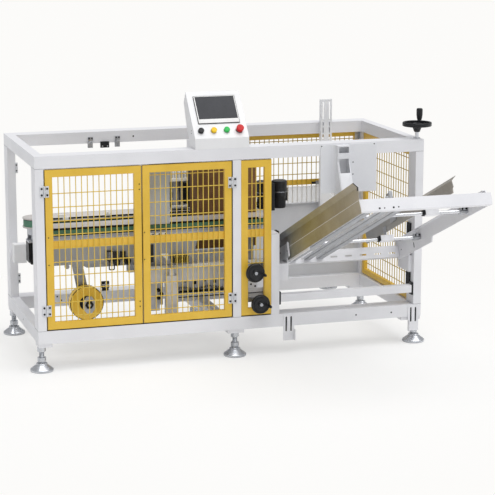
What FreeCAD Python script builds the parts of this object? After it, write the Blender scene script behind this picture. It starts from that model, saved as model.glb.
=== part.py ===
import FreeCAD, Part
import os
from math import atan2, cos, pi, radians, sin, sqrt

# Case erector: a welded tube frame on levelling feet, mesh guards and doors, two side
# belts over a tape head, and a sloping blank hopper that rides on two lift rails.
#
# Sizes are millimetres. The working frame has its corner at the front left of the tube
# frame: X runs along the machine, Y from the front to the back, Z up from the floor.
# The export moves the origin to the middle of the footprint.

# Tube frame
FRAME_L = 2170.0
FRAME_D = 930.0
FRAME_H = 1000.0
FOOT_H = 155.0
POST_W = 46.0
POST_D = 100.0
TOP_RAIL_H = 65.0
BOTTOM_RAIL_H = 70.0
SIDE_RAIL_W = 50.0
TUBE_WALL = 3.0
MIDDLE_POST_X = 1070.0
SHORT_POST_X = 1288.0
SHORT_POST_H = 450.0

# Levelling feet
FOOT_DISC_R = 62.0
FOOT_DISC_RIM = 11.0
FOOT_CONE_H = 46.0
FOOT_STEM_R = 11.0
FOOT_PLATE_L = 100.0
FOOT_PLATE_T = 20.0
FOOT_NUT_R = 19.0
FOOT_NUT_H = 16.0
FOOT_INSET_X = 23.0
FOOT_INSET_Y = 45.0
PAD_R = 57.0
PAD_T = 16.0
PAD_INSET = 234.0

# Doors and mesh guards
DOOR_GAP = 6.0
DOOR_SPLIT_X = 569.5
GUARD_BAR = 40.0
GUARD_T = 25.0
LIGHT_BAR = 32.0
WIRE = 5.0
WIRE_INSET = 4.0
WIRE_PITCH = 30.0
SIDE_WIRE_PITCH = 37.5
ROW_PITCH = 73.0
FIRST_ROW = 12.0
SPARSE_ROWS = 3
CROSSBAR_Z = 512.0
CROSSBAR_H = 40.0
NARROW_MESH_LOW = 350.0
BACK_GUARD_LOW = 478.0
BACK_CROSSBAR_Z = 637.0
BACK_ROW_PITCH = 67.0
BACK_FIRST_ROW = 15.0
BACK_WIRE_PITCH = 29.5
BACK_PANEL_TOP = 518.0
BACK_FOLD = 15.0
STRIP_GAP = 4.0
SHEET_T = 3.0

# Door hinges
HINGE_H = 60.0
HINGE_LEAF_W = 24.0
HINGE_LEAF_T = 4.0
HINGE_BARREL_R = 5.0
HINGE_PIN_R = 2.5
HINGE_FIT = 0.1
HINGE_LOW_Z = 180.0
HINGE_HIGH_Z = 815.0
RUNNING_GAP = 0.3

# Control housing on the front top rail
HOUSING_X0 = 862.0
HOUSING_W = 300.0
HOUSING_SILL = 56.0
HOUSING_SLOPE_L = 298.0
HOUSING_SLOPE_DEG = 50.0
HOUSING_T = 100.0
HOUSING_SEAT_D = 98.0
SCREEN_W = 232.0
SCREEN_H = 176.0
SCREEN_T = 7.0
SCREEN_LIFT = 91.0
SCREEN_GLASS_INSET = 14.0
BUTTON_R = 15.0
BUTTON_T = 13.0
STOP_BUTTON_R = 20.0
STOP_BUTTON_T = 27.0
BUTTON_PITCH = 71.3
BUTTON_FIRST = 40.0
BUTTON_LIFT = 47.0

# Stop plate, hanging stop arm and mast
STOP_INSET = 280.0
STOP_W = 325.0
STOP_LOW = 728.0
STOP_T = 4.0
STOP_DROP = 8.0
CHEEK_OFFSET = 61.0
CHEEK_W = 26.0
ARM_W = 68.0
ARM_T = 3.0
ARM_REACH = 42.0
ARM_STRAIGHT = 88.0
ARM_LEAN_L = 176.0
ARM_LEAN_DEG = 24.0
ARM_TOP_DROP = 9.0
ARM_STILE = 6.0
ARM_WINDOWS = ((8.0, 40.0), (72.0, 146.0))
MAST_INSET = 247.0
MAST_W = 70.0
MAST_D = 26.0
MAST_LOW = 420.0
MAST_RISE = 138.0
MAST_SLOT_W = 7.0
MAST_SLOT_H = 31.0
MAST_SLOT_OFFSET = 19.5
MAST_SLOTS = 5
MAST_SLOT_PITCH = 41.0
MAST_FIRST_SLOT = 125.0
MAST_LONG_SLOT = (14.0, 116.0)
MAST_WALL = 4.0

# Side belt units
BELT_Y_FRONT = 228.0
BELT_Y_BACK = 522.0
BELT_LEFT_X = 98.0
BELT_RIGHT_X = 1264.0
BELT_R = 70.0
BELT_T = 4.0
BELT_H = 40.0
BELT_TOP_Z = 580.0
BELT_COVER_OVER = 4.0
BELT_COVER_SETBACK = 2.0
BELT_PLATE_T = 8.0
BELT_LIP_H = 38.0
BELT_LIP_T = 4.0
BEAM_LOW_Z = 385.0
BEAM_T = 22.0
BEAM_X0 = 60.0
BEAM_X1 = 930.0
BEAM_SLANT = 40.0
GEARBOX_R = 46.0
GEARBOX_H = 42.0
NECK_R = 28.0
NECK_H = 28.0
MOTOR_W = 104.0
MOTOR_H = 118.0
MOTOR_FLANGE_T = 12.0
MOTOR_FIN_T = 4.0
MOTOR_FINS = 6

# Case on its bed
CASE_X0 = 955.0
CASE_X1 = 1296.0
CASE_TOP = 850.0
CASE_FLAP_H = 150.0
CASE_WALL = 5.0
CASE_FLAP_SLOT = 8.0
BED_Z = 400.0
BED_STRIP_W = 16.0
BED_STRIP_T = 7.0
BED_STRIP_INSET = 24.0
BED_STRIP_X0 = 160.0
BED_ROD_R = 7.0
BED_ROD_X = (200.0, 840.0, 1226.0)

# Support channels and columns below the belts
CHANNEL_X0 = 610.0
CHANNEL_TOP = 338.0
CHANNEL_H = 95.0
CHANNEL_D = 50.0
CHANNEL_Y = 196.0
CHANNEL_WALL = 6.0
COLUMN_X = 737.0
COLUMN_W = 66.0
COLUMN_TOP = 290.0
COLUMN_CORE = 26.0
UPRIGHT_X = (640.0, 1196.0)
UPRIGHT_W = 60.0
UPRIGHT_T = 10.0
CROSS_X = 1000.0
CROSS_W = 60.0
BRACKET_H = 50.0

# Tape head and tape roll
ROLL_X = 338.0
ROLL_Z = 122.0
ROLL_R = 94.0
ROLL_W = 48.0
ROLL_CORE_R = 38.0
ROLL_CORE_OUT = 4.0
AXLE_R = 12.0
AXLE_FIT = 0.1
TAPE_ARM_W = 60.0
TAPE_ARM_T = 8.0
TAPE_ARM_TOP_X = 296.0
TAPE_ARM_TOP_Z = 345.0
TAPE_HEAD_X0 = 300.0
TAPE_HEAD_X1 = 700.0
TAPE_HEAD_LOW = 322.0
TAPE_HEAD_W = 66.0
TAPE_PLATE_T = 5.0
TAPE_ROLLER_R = 19.0
TAPE_ROLLER_X = (512.0, 576.0)

# Flap head, valve block, suction motor
HEAD_X = 739.0
HEAD_W = 112.0
HEAD_D = 46.0
HEAD_TOP = 809.0
VALVE_X = 866.0
VALVE_W = 92.0
VALVE_D = 60.0
VALVE_LOW = 749.0
VALVE_TOP = 805.0
CYLINDER_R = 24.0
CYLINDER_GAP = 46.0
SUCTION_X = 1410.0
SUCTION_PITCH = 94.0
SUCTION_Y = 522.0
SUCTION_R = 44.0
SUCTION_BODY_R = 36.0
SUCTION_LOW = 564.0
SUCTION_TOP = 722.0
SUCTION_NECK_Z = 628.0
SUCTION_RING_Z = 656.0
SUCTION_RING_T = 6.0
SUCTION_BRACKET_T = 10.0
SUCTION_BRACKET_W = 60.0
SUCTION_BOX_X = 52.0
SUCTION_BOX_Z = (600.0, 675.0)
SUCTION_BOX_W = 50.0

# Junction box by the back left post
BOX_X = 4.0
BOX_W = 70.0
BOX_D = 60.0
BOX_LOW = 293.0
BOX_H = 107.0
BOX_STANDOFF = 64.0
BOX_ARM = 22.0

# Blank hopper, drawn level and then tilted
HOPPER_DEG = 22.5
HOPPER_Z = 391.0
HOPPER_GAP_LEFT = 62.0
HOPPER_GAP_RIGHT = 20.0
HOPPER_OUT = 1126.0
HOPPER_IN = 206.0
ARM_PLATE_T = 6.0
ARM_H = 82.0
ARM_DROP = 28.0
ARM_KINK = 314.0
ARM_FLANGE = 16.0
OUTER_BEAM_H = 62.0
OUTER_BEAM_D = 36.0
OUTER_BEAM_LOW = -3.0
INNER_BEAM_D = 40.0
INNER_BEAM_H = 66.0
INNER_BEAM_LOW = -15.0
INNER_SLOT_L = 40.0
INNER_SLOT_H = 9.0
INNER_SLOTS = 8
SLIDE_BAR_OFFSET = (66.0, 151.0, 224.0)
SLIDE_BAR_W = 36.0
SLIDE_BAR_H = 21.0
ROD_R = 9.0
ROD_FIT = 0.08
ROD_Y = (-820.0, -160.0)
ROD_Z = 31.0
CLAMP_W = 40.0
CLAMP_H = 42.0
GUIDE_T = 3.0
GUIDE_FLARE = 24.0
LEFT_GUIDE_LOW = -15.0
LEFT_GUIDE_H = 112.0
LEFT_GUIDE_OUT = 1156.0
GUIDE_FOLD = 5.0
GUIDE_HEM = 22.0
RIGHT_GUIDE_INSET = 204.0
RIGHT_GUIDE_LOW = 66.0
RIGHT_GUIDE_H = 129.0
RIGHT_GUIDE_IN = 140.0
GUIDE_BLOCK_W = 76.0

# Lift rails and carriages
LIFT_RAIL_T = 12.0
LIFT_RAIL_W = 44.0
LIFT_RAIL_Y = 45.0
LIFT_RAIL_LOW = 131.0
LIFT_RAIL_TOP = 524.0
LIFT_GROOVE = 4.0
CARRIAGE_LOW = 250.0
CARRIAGE_TOP = 400.0
CARRIAGE_BLOCK_TOP = 345.0
CARRIAGE_Y0 = 30.0
CARRIAGE_BLOCK_Y1 = 104.0
CARRIAGE_Y1 = 187.0
CARRIAGE_T = 7.0
LOW_BAR_Z = 137.0
LOW_BAR_H = 43.0
LOW_BAR_D = 40.0
LOW_PAD_T = 10.0
LOW_PAD_OVER = 14.0

# Slotted brackets on the front bottom rail
SLOT_BRACKET_OFFSET = (22.0, 32.0)
SLOT_BRACKET_W = 64.0
SLOT_BRACKET_T = 4.0
SLOT_BRACKET_RISE = 66.0
SLOT_BRACKET_DROP = 80.0
SLOT_W = 9.0
SLOT_L = 84.0
SLOT_TAB_H = 64.0
SLOT_TAB_D = 26.0

# Handwheels
TOP_WHEEL_R = 81.0
TOP_WHEEL_INSET = 24.0
TOP_WHEEL_Y = 45.0
TOP_WHEEL_RISE = 80.0
TOP_WHEEL_RIM_H = 22.0
TOP_WHEEL_RIM_T = 12.0
TOP_WHEEL_HUB_R = 28.0
TOP_WHEEL_HUB_DROP = 44.0
TOP_KNOB_R = 17.5
TOP_KNOB_H = 62.0
TOP_KNOB_DEG = 57.0
TOP_STEM_R = 11.0
COLLAR_R = 19.0
COLLAR_H = 6.0
SMALL_WHEEL_R = 50.0
SMALL_WHEEL_T = 15.0
SMALL_WHEEL_Y = -46.0
WHEEL_SHAFT_R = 8.0
WHEEL_FIT = 0.08
WHEEL_XZ = ((1183.0, 320.0), (1213.0, 144.0))
WHEEL_BLOCK = 44.0
WHEEL_HANDLE_R = 7.0
WHEEL_HANDLE_L = 46.0
WHEEL_ARMS = 3

# Heights and lines that several pieces share
SILL_Z = FOOT_H + BOTTOM_RAIL_H
HEAD_Z = FOOT_H + FRAME_H - TOP_RAIL_H
TOP_Z = FOOT_H + FRAME_H
BACK_Y = FRAME_D - POST_D
RIGHT_POST_X = FRAME_L - POST_W
SHORT_POST_X1 = SHORT_POST_X + POST_W
MIDDLE_POST_X1 = MIDDLE_POST_X + POST_W
MIDDLE_Y = (BELT_Y_FRONT + BELT_Y_BACK) / 2
STOP_X1 = FRAME_L - STOP_INSET
STOP_X0 = STOP_X1 - STOP_W
CHEEK_X = STOP_X0 + CHEEK_OFFSET
ARM_X = CHEEK_X + CHEEK_W
MAST_X = FRAME_L - MAST_INSET - MAST_W
MAST_TOP = FRAME_H + MAST_RISE
BOX_Y = BACK_Y - BOX_STANDOFF - BOX_D
HOPPER_X0 = SHORT_POST_X1 + HOPPER_GAP_LEFT
HOPPER_X1 = RIGHT_POST_X - HOPPER_GAP_RIGHT
SLIDE_BAR_X = tuple(HOPPER_X0 + offset for offset in SLIDE_BAR_OFFSET)
RIGHT_GUIDE_X = HOPPER_X1 - RIGHT_GUIDE_INSET
SLOT_BRACKET_X = (SHORT_POST_X1 + SLOT_BRACKET_OFFSET[0], RIGHT_POST_X - SLOT_BRACKET_OFFSET[1])
TOP_WHEEL_X = FRAME_L - TOP_WHEEL_INSET
TOP_WHEEL_Z = FRAME_H + TOP_WHEEL_RISE

V = FreeCAD.Vector
Z_AXIS = V(0, 0, 1)
X_AXIS = V(1, 0, 0)
Y_AXIS = V(0, 1, 0)


def box(x0, x1, y0, y1, z0, z1):
    """Block between two corners, measured from the underside of the tube frame."""
    return Part.makeBox(x1 - x0, y1 - y0, z1 - z0, V(x0, y0, z0 + FOOT_H))


def rod(radius, start, end):
    """Round bar between two points, measured from the underside of the tube frame."""
    a = V(*start) + V(0, 0, FOOT_H)
    b = V(*end) + V(0, 0, FOOT_H)
    return Part.makeCylinder(radius, (b - a).Length, a, b - a)


def turned(profile, sides, base, axis):
    """Turned piece with flat sides, from (radius, height) pairs that start and end on the axis."""
    rings = []
    for radius, height in profile:
        count = sides if radius > 0 else 1
        rings.append([V(radius * cos((k + 0.5) * 2 * pi / sides), radius * sin((k + 0.5) * 2 * pi / sides),
                        height) for k in range(count)])
    faces = []
    for low, high in zip(rings, rings[1:]):
        if len(low) == 1 or len(high) == 1:
            tip, ring = (low, high) if len(low) == 1 else (high, low)
            if abs(tip[0].z - ring[0].z) < 1e-6:
                faces.append(Part.Face(Part.makePolygon(ring + [ring[0]])))
                continue
        for k in range(sides):
            m = (k + 1) % sides
            corners = [low[k % len(low)], low[m % len(low)], high[m % len(high)], high[k % len(high)]]
            corners = [c for i, c in enumerate(corners) if (c - corners[i - 1]).Length > 1e-6]
            faces.append(Part.Face(Part.makePolygon(corners + [corners[0]])))
    shell = Part.makeShell(faces)
    shell.sewShape()
    solid = Part.makeSolid(shell)
    if solid.Volume < 0:
        solid.reverse()
    solid.Placement = FreeCAD.Placement(base, FreeCAD.Rotation(Z_AXIS, axis))
    return solid


def drum(radius, start, end, sides=24):
    """Flat-sided round block between two points, measured from the tube frame's underside."""
    a = V(*start) + V(0, 0, FOOT_H)
    b = V(*end) + V(0, 0, FOOT_H)
    length = (b - a).Length
    return turned([(0, 0), (radius, 0), (radius, length), (0, length)], sides, a, b - a)


def fuse(shapes):
    """One solid from pieces that touch or overlap."""
    return shapes[0].multiFuse(shapes[1:]).removeSplitter()


def pair(shapes):
    """Several solids that share a node and don't touch."""
    return Part.makeCompound(shapes)


def prism(points, direction):
    """Closed outline swept along a vector."""
    wire = Part.makePolygon(points + [points[0]])
    return Part.Face(wire).extrude(direction)


def hollow(outer, x0, x1, y0, y1, z0, z1):
    """Block with a rectangular bore cut from it."""
    return outer.cut(box(x0, x1, y0, y1, z0, z1))


def tube_along_x(x0, x1, y0, y1, z0, z1):
    wall = TUBE_WALL
    return hollow(box(x0, x1, y0, y1, z0, z1), x0 + wall, x1 - wall,
                  y0 + wall, y1 - wall, z0 + wall, z1 - wall)


def long_rails(z0, z1):
    front = tube_along_x(0, FRAME_L, 0, POST_D, z0, z1)
    back = tube_along_x(0, FRAME_L, BACK_Y, FRAME_D, z0, z1)
    return [front, back]


def side_rails(z0, z1):
    left = tube_along_x(0, SIDE_RAIL_W, POST_D, BACK_Y, z0, z1)
    right = tube_along_x(FRAME_L - SIDE_RAIL_W, FRAME_L, POST_D, BACK_Y, z0, z1)
    return [left, right]


def top_rails():
    low = FRAME_H - TOP_RAIL_H
    return pair(long_rails(low, FRAME_H) + side_rails(low, FRAME_H))


def bottom_rails():
    """Bottom rails with the cross member near the middle of the machine."""
    cross = tube_along_x(CROSS_X, CROSS_X + CROSS_W, POST_D, BACK_Y, 0, BOTTOM_RAIL_H)
    return pair(long_rails(0, BOTTOM_RAIL_H) + side_rails(0, BOTTOM_RAIL_H) + [cross])


def post(x, y, height):
    return tube_along_x(x, x + POST_W, y, y + POST_D, BOTTOM_RAIL_H, BOTTOM_RAIL_H + height)


def posts():
    """Corner and middle posts, and the short post beside the hopper bay."""
    height = FRAME_H - TOP_RAIL_H - BOTTOM_RAIL_H
    full = [post(x, y, height) for x in (0, MIDDLE_POST_X, RIGHT_POST_X) for y in (0, BACK_Y)]
    return pair(full + [post(SHORT_POST_X, 0, SHORT_POST_H)])


def levelling_foot(x, y):
    """Rubber-soled disc with a cone, a threaded stem, a nut and the plate on the rail."""
    profile = [(0, 0), (FOOT_DISC_R, 0), (FOOT_DISC_R, FOOT_DISC_RIM),
               (FOOT_NUT_R + 6, FOOT_CONE_H - 12), (FOOT_NUT_R - 4, FOOT_CONE_H), (0, FOOT_CONE_H)]
    disc = turned(profile, 20, V(0, 0, 0), Z_AXIS)
    stem_l = FOOT_H - FOOT_PLATE_T - FOOT_CONE_H
    stem = turned([(0, 0), (FOOT_STEM_R, 0), (FOOT_STEM_R, stem_l), (0, stem_l)], 10,
                  V(0, 0, FOOT_CONE_H), Z_AXIS)
    nut_z = FOOT_H - FOOT_PLATE_T - FOOT_NUT_H
    corners = [V(FOOT_NUT_R * cos(k * pi / 3), FOOT_NUT_R * sin(k * pi / 3), nut_z) for k in range(6)]
    nut = prism(corners, V(0, 0, FOOT_NUT_H))
    plate = Part.makeBox(FOOT_PLATE_L, POST_D - 10, FOOT_PLATE_T,
                         V(-FOOT_PLATE_L / 2, -FOOT_INSET_Y + 5, FOOT_H - FOOT_PLATE_T))
    foot = fuse([disc, stem, nut, plate])
    if y > FRAME_D / 2:
        foot.rotate(V(0, 0, 0), Z_AXIS, 180)
    foot.translate(V(x, y, 0))
    return foot


def levelling_feet():
    """Six levelling feet, and the flat pad that is fixed under the back rail."""
    middle = MIDDLE_POST_X + POST_W / 2
    places = [(x, y) for x in (FOOT_INSET_X, middle, FRAME_L - FOOT_INSET_X)
              for y in (FOOT_INSET_Y, FRAME_D - FOOT_INSET_Y)]
    profile = [(0, -PAD_T), (PAD_R - 8, -PAD_T), (PAD_R, -PAD_T + 5), (PAD_R, -4), (PAD_R - 20, 0), (0, 0)]
    spare = turned(profile, 24, V(FRAME_L - PAD_INSET, FRAME_D - FOOT_INSET_Y, FOOT_H), Z_AXIS)
    return pair([levelling_foot(x, y) for x, y in places] + [spare])


def guard_rows(height, first, pitch, low=0.0):
    """Heights of the mesh rows: the first is counted from the top edge, the rest by the pitch."""
    rows = []
    z = height - first
    while z > low + GUARD_BAR:
        rows.append(z)
        z -= pitch
    return rows


def mesh_guard(width, height, bar, columns, rows, crossbar=None, mesh_low=None, crossbar_h=CROSSBAR_H):
    """Tube ring with welded wires: uprights in front, rows behind them, then the crossbar."""
    low = bar if mesh_low is None else mesh_low
    ring = Part.makeBox(width, GUARD_T, height)
    ring = ring.cut(Part.makeBox(width - 2 * bar, GUARD_T, height - 2 * bar, V(bar, 0, bar)))
    pieces = [ring]
    pitch = (width - 2 * bar) / (columns + 1)
    for k in range(columns):
        x = bar + (k + 1) * pitch - WIRE / 2
        pieces.append(Part.makeBox(WIRE, WIRE, height - bar - low, V(x, WIRE_INSET, low)))
    for z in rows:
        place = V(bar, WIRE_INSET + WIRE, z - WIRE / 2)
        pieces.append(Part.makeBox(width - 2 * bar, WIRE, WIRE, place))
    if crossbar is not None:
        depth = GUARD_T - WIRE_INSET - 2 * WIRE
        place = V(bar, WIRE_INSET + 2 * WIRE, crossbar - crossbar_h / 2)
        pieces.append(Part.makeBox(width - 2 * bar, depth, crossbar_h, place))
    return fuse(pieces)


DOOR_LOW = BOTTOM_RAIL_H + DOOR_GAP
DOOR_H = FRAME_H - TOP_RAIL_H - BOTTOM_RAIL_H - 2 * DOOR_GAP
LEFT_DOOR_X0 = POST_W + DOOR_GAP
LEFT_DOOR_X1 = DOOR_SPLIT_X - DOOR_GAP / 2
RIGHT_DOOR_X0 = DOOR_SPLIT_X + DOOR_GAP / 2
RIGHT_DOOR_X1 = MIDDLE_POST_X - DOOR_GAP
LEFT_HINGE_X = POST_W + DOOR_GAP / 2
RIGHT_HINGE_X = MIDDLE_POST_X - DOOR_GAP / 2
HINGE_Y = -HINGE_BARREL_R


def wire_count(width, bar, pitch):
    return max(1, round((width - 2 * bar) / pitch) - 1)


def hinge_leaf(x, side, middle, z_mid):
    """One hinge leaf: the door's has the middle knuckle, the post's the outer two."""
    z0 = z_mid - HINGE_H / 2
    third = HINGE_H / 3
    spans = [(z0 + third + RUNNING_GAP, z0 + 2 * third - RUNNING_GAP)]
    if not middle:
        spans = [(z0, z0 + third), (z0 + 2 * third, z0 + HINGE_H)]
    near, far = sorted((x + side * (HINGE_BARREL_R + 1), x + side * HINGE_LEAF_W))
    pieces = [box(near, far, -HINGE_LEAF_T, 0, z0, z0 + HINGE_H)]
    for low, high in spans:
        pieces.append(drum(HINGE_BARREL_R, (x, HINGE_Y, low), (x, HINGE_Y, high), 12))
        tab = sorted((x, x + side * (HINGE_BARREL_R + 1)))
        pieces.append(box(tab[0], tab[1], -HINGE_LEAF_T, -1.0, low, high))
    leaf = fuse(pieces)
    pin_r = HINGE_PIN_R + HINGE_FIT if middle else HINGE_PIN_R
    pin = rod(pin_r, (x, HINGE_Y, z0), (x, HINGE_Y, z0 + HINGE_H))
    if middle:
        return leaf.cut(pin)
    return fuse([leaf, pin])


def door_hinges(x, side, middle):
    return [hinge_leaf(x, side, middle, z) for z in (HINGE_LOW_Z, HINGE_HIGH_Z)]


def side_clip(z):
    """Small hinge plate left on the back left post, by the open end of the machine."""
    return box(POST_W - 4, POST_W + 12, BACK_Y - HINGE_LEAF_T, BACK_Y, z - HINGE_H / 2, z + HINGE_H / 2)


def post_hinges():
    leaves = door_hinges(LEFT_HINGE_X, -1, False) + door_hinges(RIGHT_HINGE_X, 1, False)
    clips = [side_clip(HINGE_LOW_Z), side_clip(HINGE_HIGH_Z)]
    return pair(leaves + clips)


def door(x0, x1):
    width = x1 - x0
    panel = mesh_guard(width, DOOR_H, GUARD_BAR, wire_count(width, GUARD_BAR, WIRE_PITCH),
                       guard_rows(DOOR_H, GUARD_BAR + FIRST_ROW, ROW_PITCH), CROSSBAR_Z - DOOR_LOW)
    panel.translate(V(x0, 0, DOOR_LOW + FOOT_H))
    return panel


def narrow_guard():
    width = SHORT_POST_X - MIDDLE_POST_X1
    rows = guard_rows(DOOR_H, GUARD_BAR + FIRST_ROW, ROW_PITCH, NARROW_MESH_LOW - DOOR_LOW - GUARD_BAR)
    panel = mesh_guard(width, DOOR_H, GUARD_BAR, 3, rows, CROSSBAR_Z - DOOR_LOW, rows[-1] - WIRE / 2)
    panel.translate(V(MIDDLE_POST_X1, 0, DOOR_LOW + FOOT_H))
    return panel


def back_guard():
    width = RIGHT_POST_X - MIDDLE_POST_X1
    height = FRAME_H - TOP_RAIL_H - BACK_GUARD_LOW
    crossbar = BACK_CROSSBAR_Z - BACK_GUARD_LOW
    rows = guard_rows(height, LIGHT_BAR + BACK_FIRST_ROW, BACK_ROW_PITCH, crossbar - GUARD_BAR)
    panel = mesh_guard(width, height, LIGHT_BAR, wire_count(width, LIGHT_BAR, BACK_WIRE_PITCH), rows,
                       crossbar, crossbar_h=LIGHT_BAR)
    panel.translate(V(MIDDLE_POST_X1, BACK_Y + POST_D / 2, BACK_GUARD_LOW + FOOT_H))
    return panel


def side_guard():
    width = BACK_Y - POST_D
    panel = mesh_guard(width, DOOR_H, LIGHT_BAR, wire_count(width, LIGHT_BAR, SIDE_WIRE_PITCH),
                       guard_rows(DOOR_H, GUARD_BAR + FIRST_ROW, ROW_PITCH * SPARSE_ROWS))
    panel.rotate(V(0, 0, 0), Z_AXIS, 90)
    panel.translate(V(RIGHT_POST_X + GUARD_T + 10, POST_D, DOOR_LOW + FOOT_H))
    return panel


def folded_sheet(low, top):
    """Sheet across the back of the hopper bay, in front of the guard, with its top edge folded forwards."""
    y0 = BACK_Y + POST_D / 2 - SHEET_T - RUNNING_GAP
    sheet = box(MIDDLE_POST_X1, RIGHT_POST_X, y0, y0 + SHEET_T, low, top)
    fold = box(MIDDLE_POST_X1, RIGHT_POST_X, y0 - BACK_FOLD, y0, top - SHEET_T, top)
    return sheet.fuse(fold)


def back_panel():
    """Grey panel that closes the lower back of the hopper bay."""
    y0 = BACK_Y + POST_D / 2 - SHEET_T - RUNNING_GAP
    foot = box(MIDDLE_POST_X1, RIGHT_POST_X, y0 - BACK_FOLD, y0, BOTTOM_RAIL_H, BOTTOM_RAIL_H + SHEET_T)
    return fuse([folded_sheet(BOTTOM_RAIL_H, BACK_PANEL_TOP), foot])


def back_strip():
    """Pale see-through strip that stands on the grey panel, up to the guard's crossbar."""
    return fuse([folded_sheet(BACK_PANEL_TOP, BACK_CROSSBAR_Z - LIGHT_BAR / 2 - STRIP_GAP)])


def slope_point(distance, lift=0.0):
    """Point on the housing's sloping face: (y, z) from the frame's underside."""
    a = radians(HOUSING_SLOPE_DEG)
    y = distance * cos(a) - lift * sin(a)
    z = FRAME_H + HOUSING_SILL + distance * sin(a) + lift * cos(a)
    return y, z


def control_housing():
    """Wedge with a sloping face, a bevelled top and a seat on the rail."""
    top = slope_point(HOUSING_SLOPE_L)
    bevel = slope_point(HOUSING_SLOPE_L - 22, -66)
    back = slope_point(HOUSING_SLOPE_L - 138, -HOUSING_T)
    outline = [(0, FRAME_H), (0, FRAME_H + HOUSING_SILL), top, bevel, back, (HOUSING_SEAT_D, FRAME_H)]
    points = [V(HOUSING_X0, y, z + FOOT_H) for y, z in outline]
    return prism(points, V(HOUSING_W, 0, 0))


def on_slope(shape):
    """Place a piece drawn flat (X across, Y up the slope, Z out of it) on the housing."""
    shape.rotate(V(0, 0, 0), X_AXIS, HOUSING_SLOPE_DEG)
    y, z = slope_point(0)
    shape.translate(V(HOUSING_X0, y, z + FOOT_H))
    return shape


def touch_screen():
    side = (HOUSING_W - SCREEN_W) / 2
    frame = Part.makeBox(SCREEN_W, SCREEN_H, SCREEN_T, V(side, SCREEN_LIFT, 0))
    glass = Part.makeBox(SCREEN_W - 2 * SCREEN_GLASS_INSET, SCREEN_H - 2 * SCREEN_GLASS_INSET, 1.5,
                         V(side + SCREEN_GLASS_INSET, SCREEN_LIFT + SCREEN_GLASS_INSET, SCREEN_T - 1.5))
    return on_slope(frame.cut(glass))


def push_buttons():
    """Three push buttons and a mushroom stop button on their collars."""
    buttons = []
    for k in range(4):
        x = BUTTON_FIRST + k * BUTTON_PITCH
        last = k == 3
        head_r = STOP_BUTTON_R if last else BUTTON_R
        height = STOP_BUTTON_T if last else BUTTON_T
        base = V(x, BUTTON_LIFT, 0)
        h = height * 0.55
        top_r = head_r if last else head_r - 3
        profile = [(0, 0), (BUTTON_R, 0), (BUTTON_R, h), (top_r, h), (top_r, height), (0, height)]
        buttons.append(on_slope(turned(profile, 16, base, Z_AXIS)))
    return pair(buttons)


def stop_plate():
    """Sheet screwed to the front of the top rail, with a cheek that curves out to the stop arm."""
    top = FRAME_H - STOP_DROP
    sheet = box(STOP_X0, STOP_X1, -STOP_T, 0, STOP_LOW, top)
    curve = []
    for k in range(5):
        a = k * pi / 8
        curve.append((CHEEK_X + CHEEK_W * sin(a), -CHEEK_W * (1 - cos(a))))
    reach = ARM_REACH + ARM_LEAN_L * sin(radians(ARM_LEAN_DEG))
    front = curve + [(ARM_X, -reach)]
    back = [(ARM_X - STOP_T, -reach)] + [(x - STOP_T * sin(k * pi / 8), y - STOP_T * cos(k * pi / 8))
                                         for k, (x, y) in reversed(list(enumerate(curve)))]
    cheek = prism([V(x, y, STOP_LOW + FOOT_H) for x, y in front + back], V(0, 0, top - STOP_LOW))
    cheek = cheek.cut(arm_front(2 * CHEEK_W))
    return fuse([sheet, cheek])


def arm_line(back=0.0):
    """Side view (y, z) of the stop arm's front face, from the top down, moved back by a distance."""
    a = radians(ARM_LEAN_DEG)
    top = FRAME_H - ARM_TOP_DROP
    knee = top - ARM_STRAIGHT
    return [(-ARM_REACH + back, top), (-ARM_REACH + back, knee),
            (-ARM_REACH - ARM_LEAN_L * sin(a) + back, knee - ARM_LEAN_L * cos(a))]


def arm_front(spread):
    """Everything in front of the stop arm, as a cutter."""
    (y0, z0), (y1, z1), (y2, z2) = arm_line(ARM_T)
    a = radians(ARM_LEAN_DEG)
    low = STOP_LOW - 10
    y_low = y2 - (z2 - low) * sin(a) / cos(a)
    far, high = y_low - ARM_LEAN_L, z0 + ARM_STRAIGHT
    outline = [(y0, high), (y1, z1), (y_low, low), (far, low), (far, high)]
    return prism([V(ARM_X - spread, y, z + FOOT_H) for y, z in outline], V(spread + ARM_W, 0, 0))


def stop_arm():
    """Folded channel with two windows: it hangs straight, then leans towards the front."""
    front = arm_line()
    back = arm_line(ARM_T)
    strip = prism([V(ARM_X, y, z + FOOT_H) for y, z in front + back[::-1]], V(ARM_W, 0, 0))
    top = FRAME_H - ARM_TOP_DROP
    x0, x1 = ARM_X + ARM_STILE, ARM_X + ARM_W - ARM_STILE
    for high, low in ARM_WINDOWS:
        strip = strip.cut(box(x0, x1, -ARM_REACH - ARM_LEAN_L, 0, top - low, top - high))
    (y0, z0), _, (_, z2) = back
    hook = box(ARM_X, ARM_X + ARM_W, y0, -STOP_T, z0 - 5, z0)
    wall = [(-STOP_T, z0), *back, (-STOP_T, z2)]
    side = prism([V(ARM_X + ARM_W - ARM_T, y, z + FOOT_H) for y, z in wall], V(ARM_T, 0, 0))
    return fuse([strip, hook, side])


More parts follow.
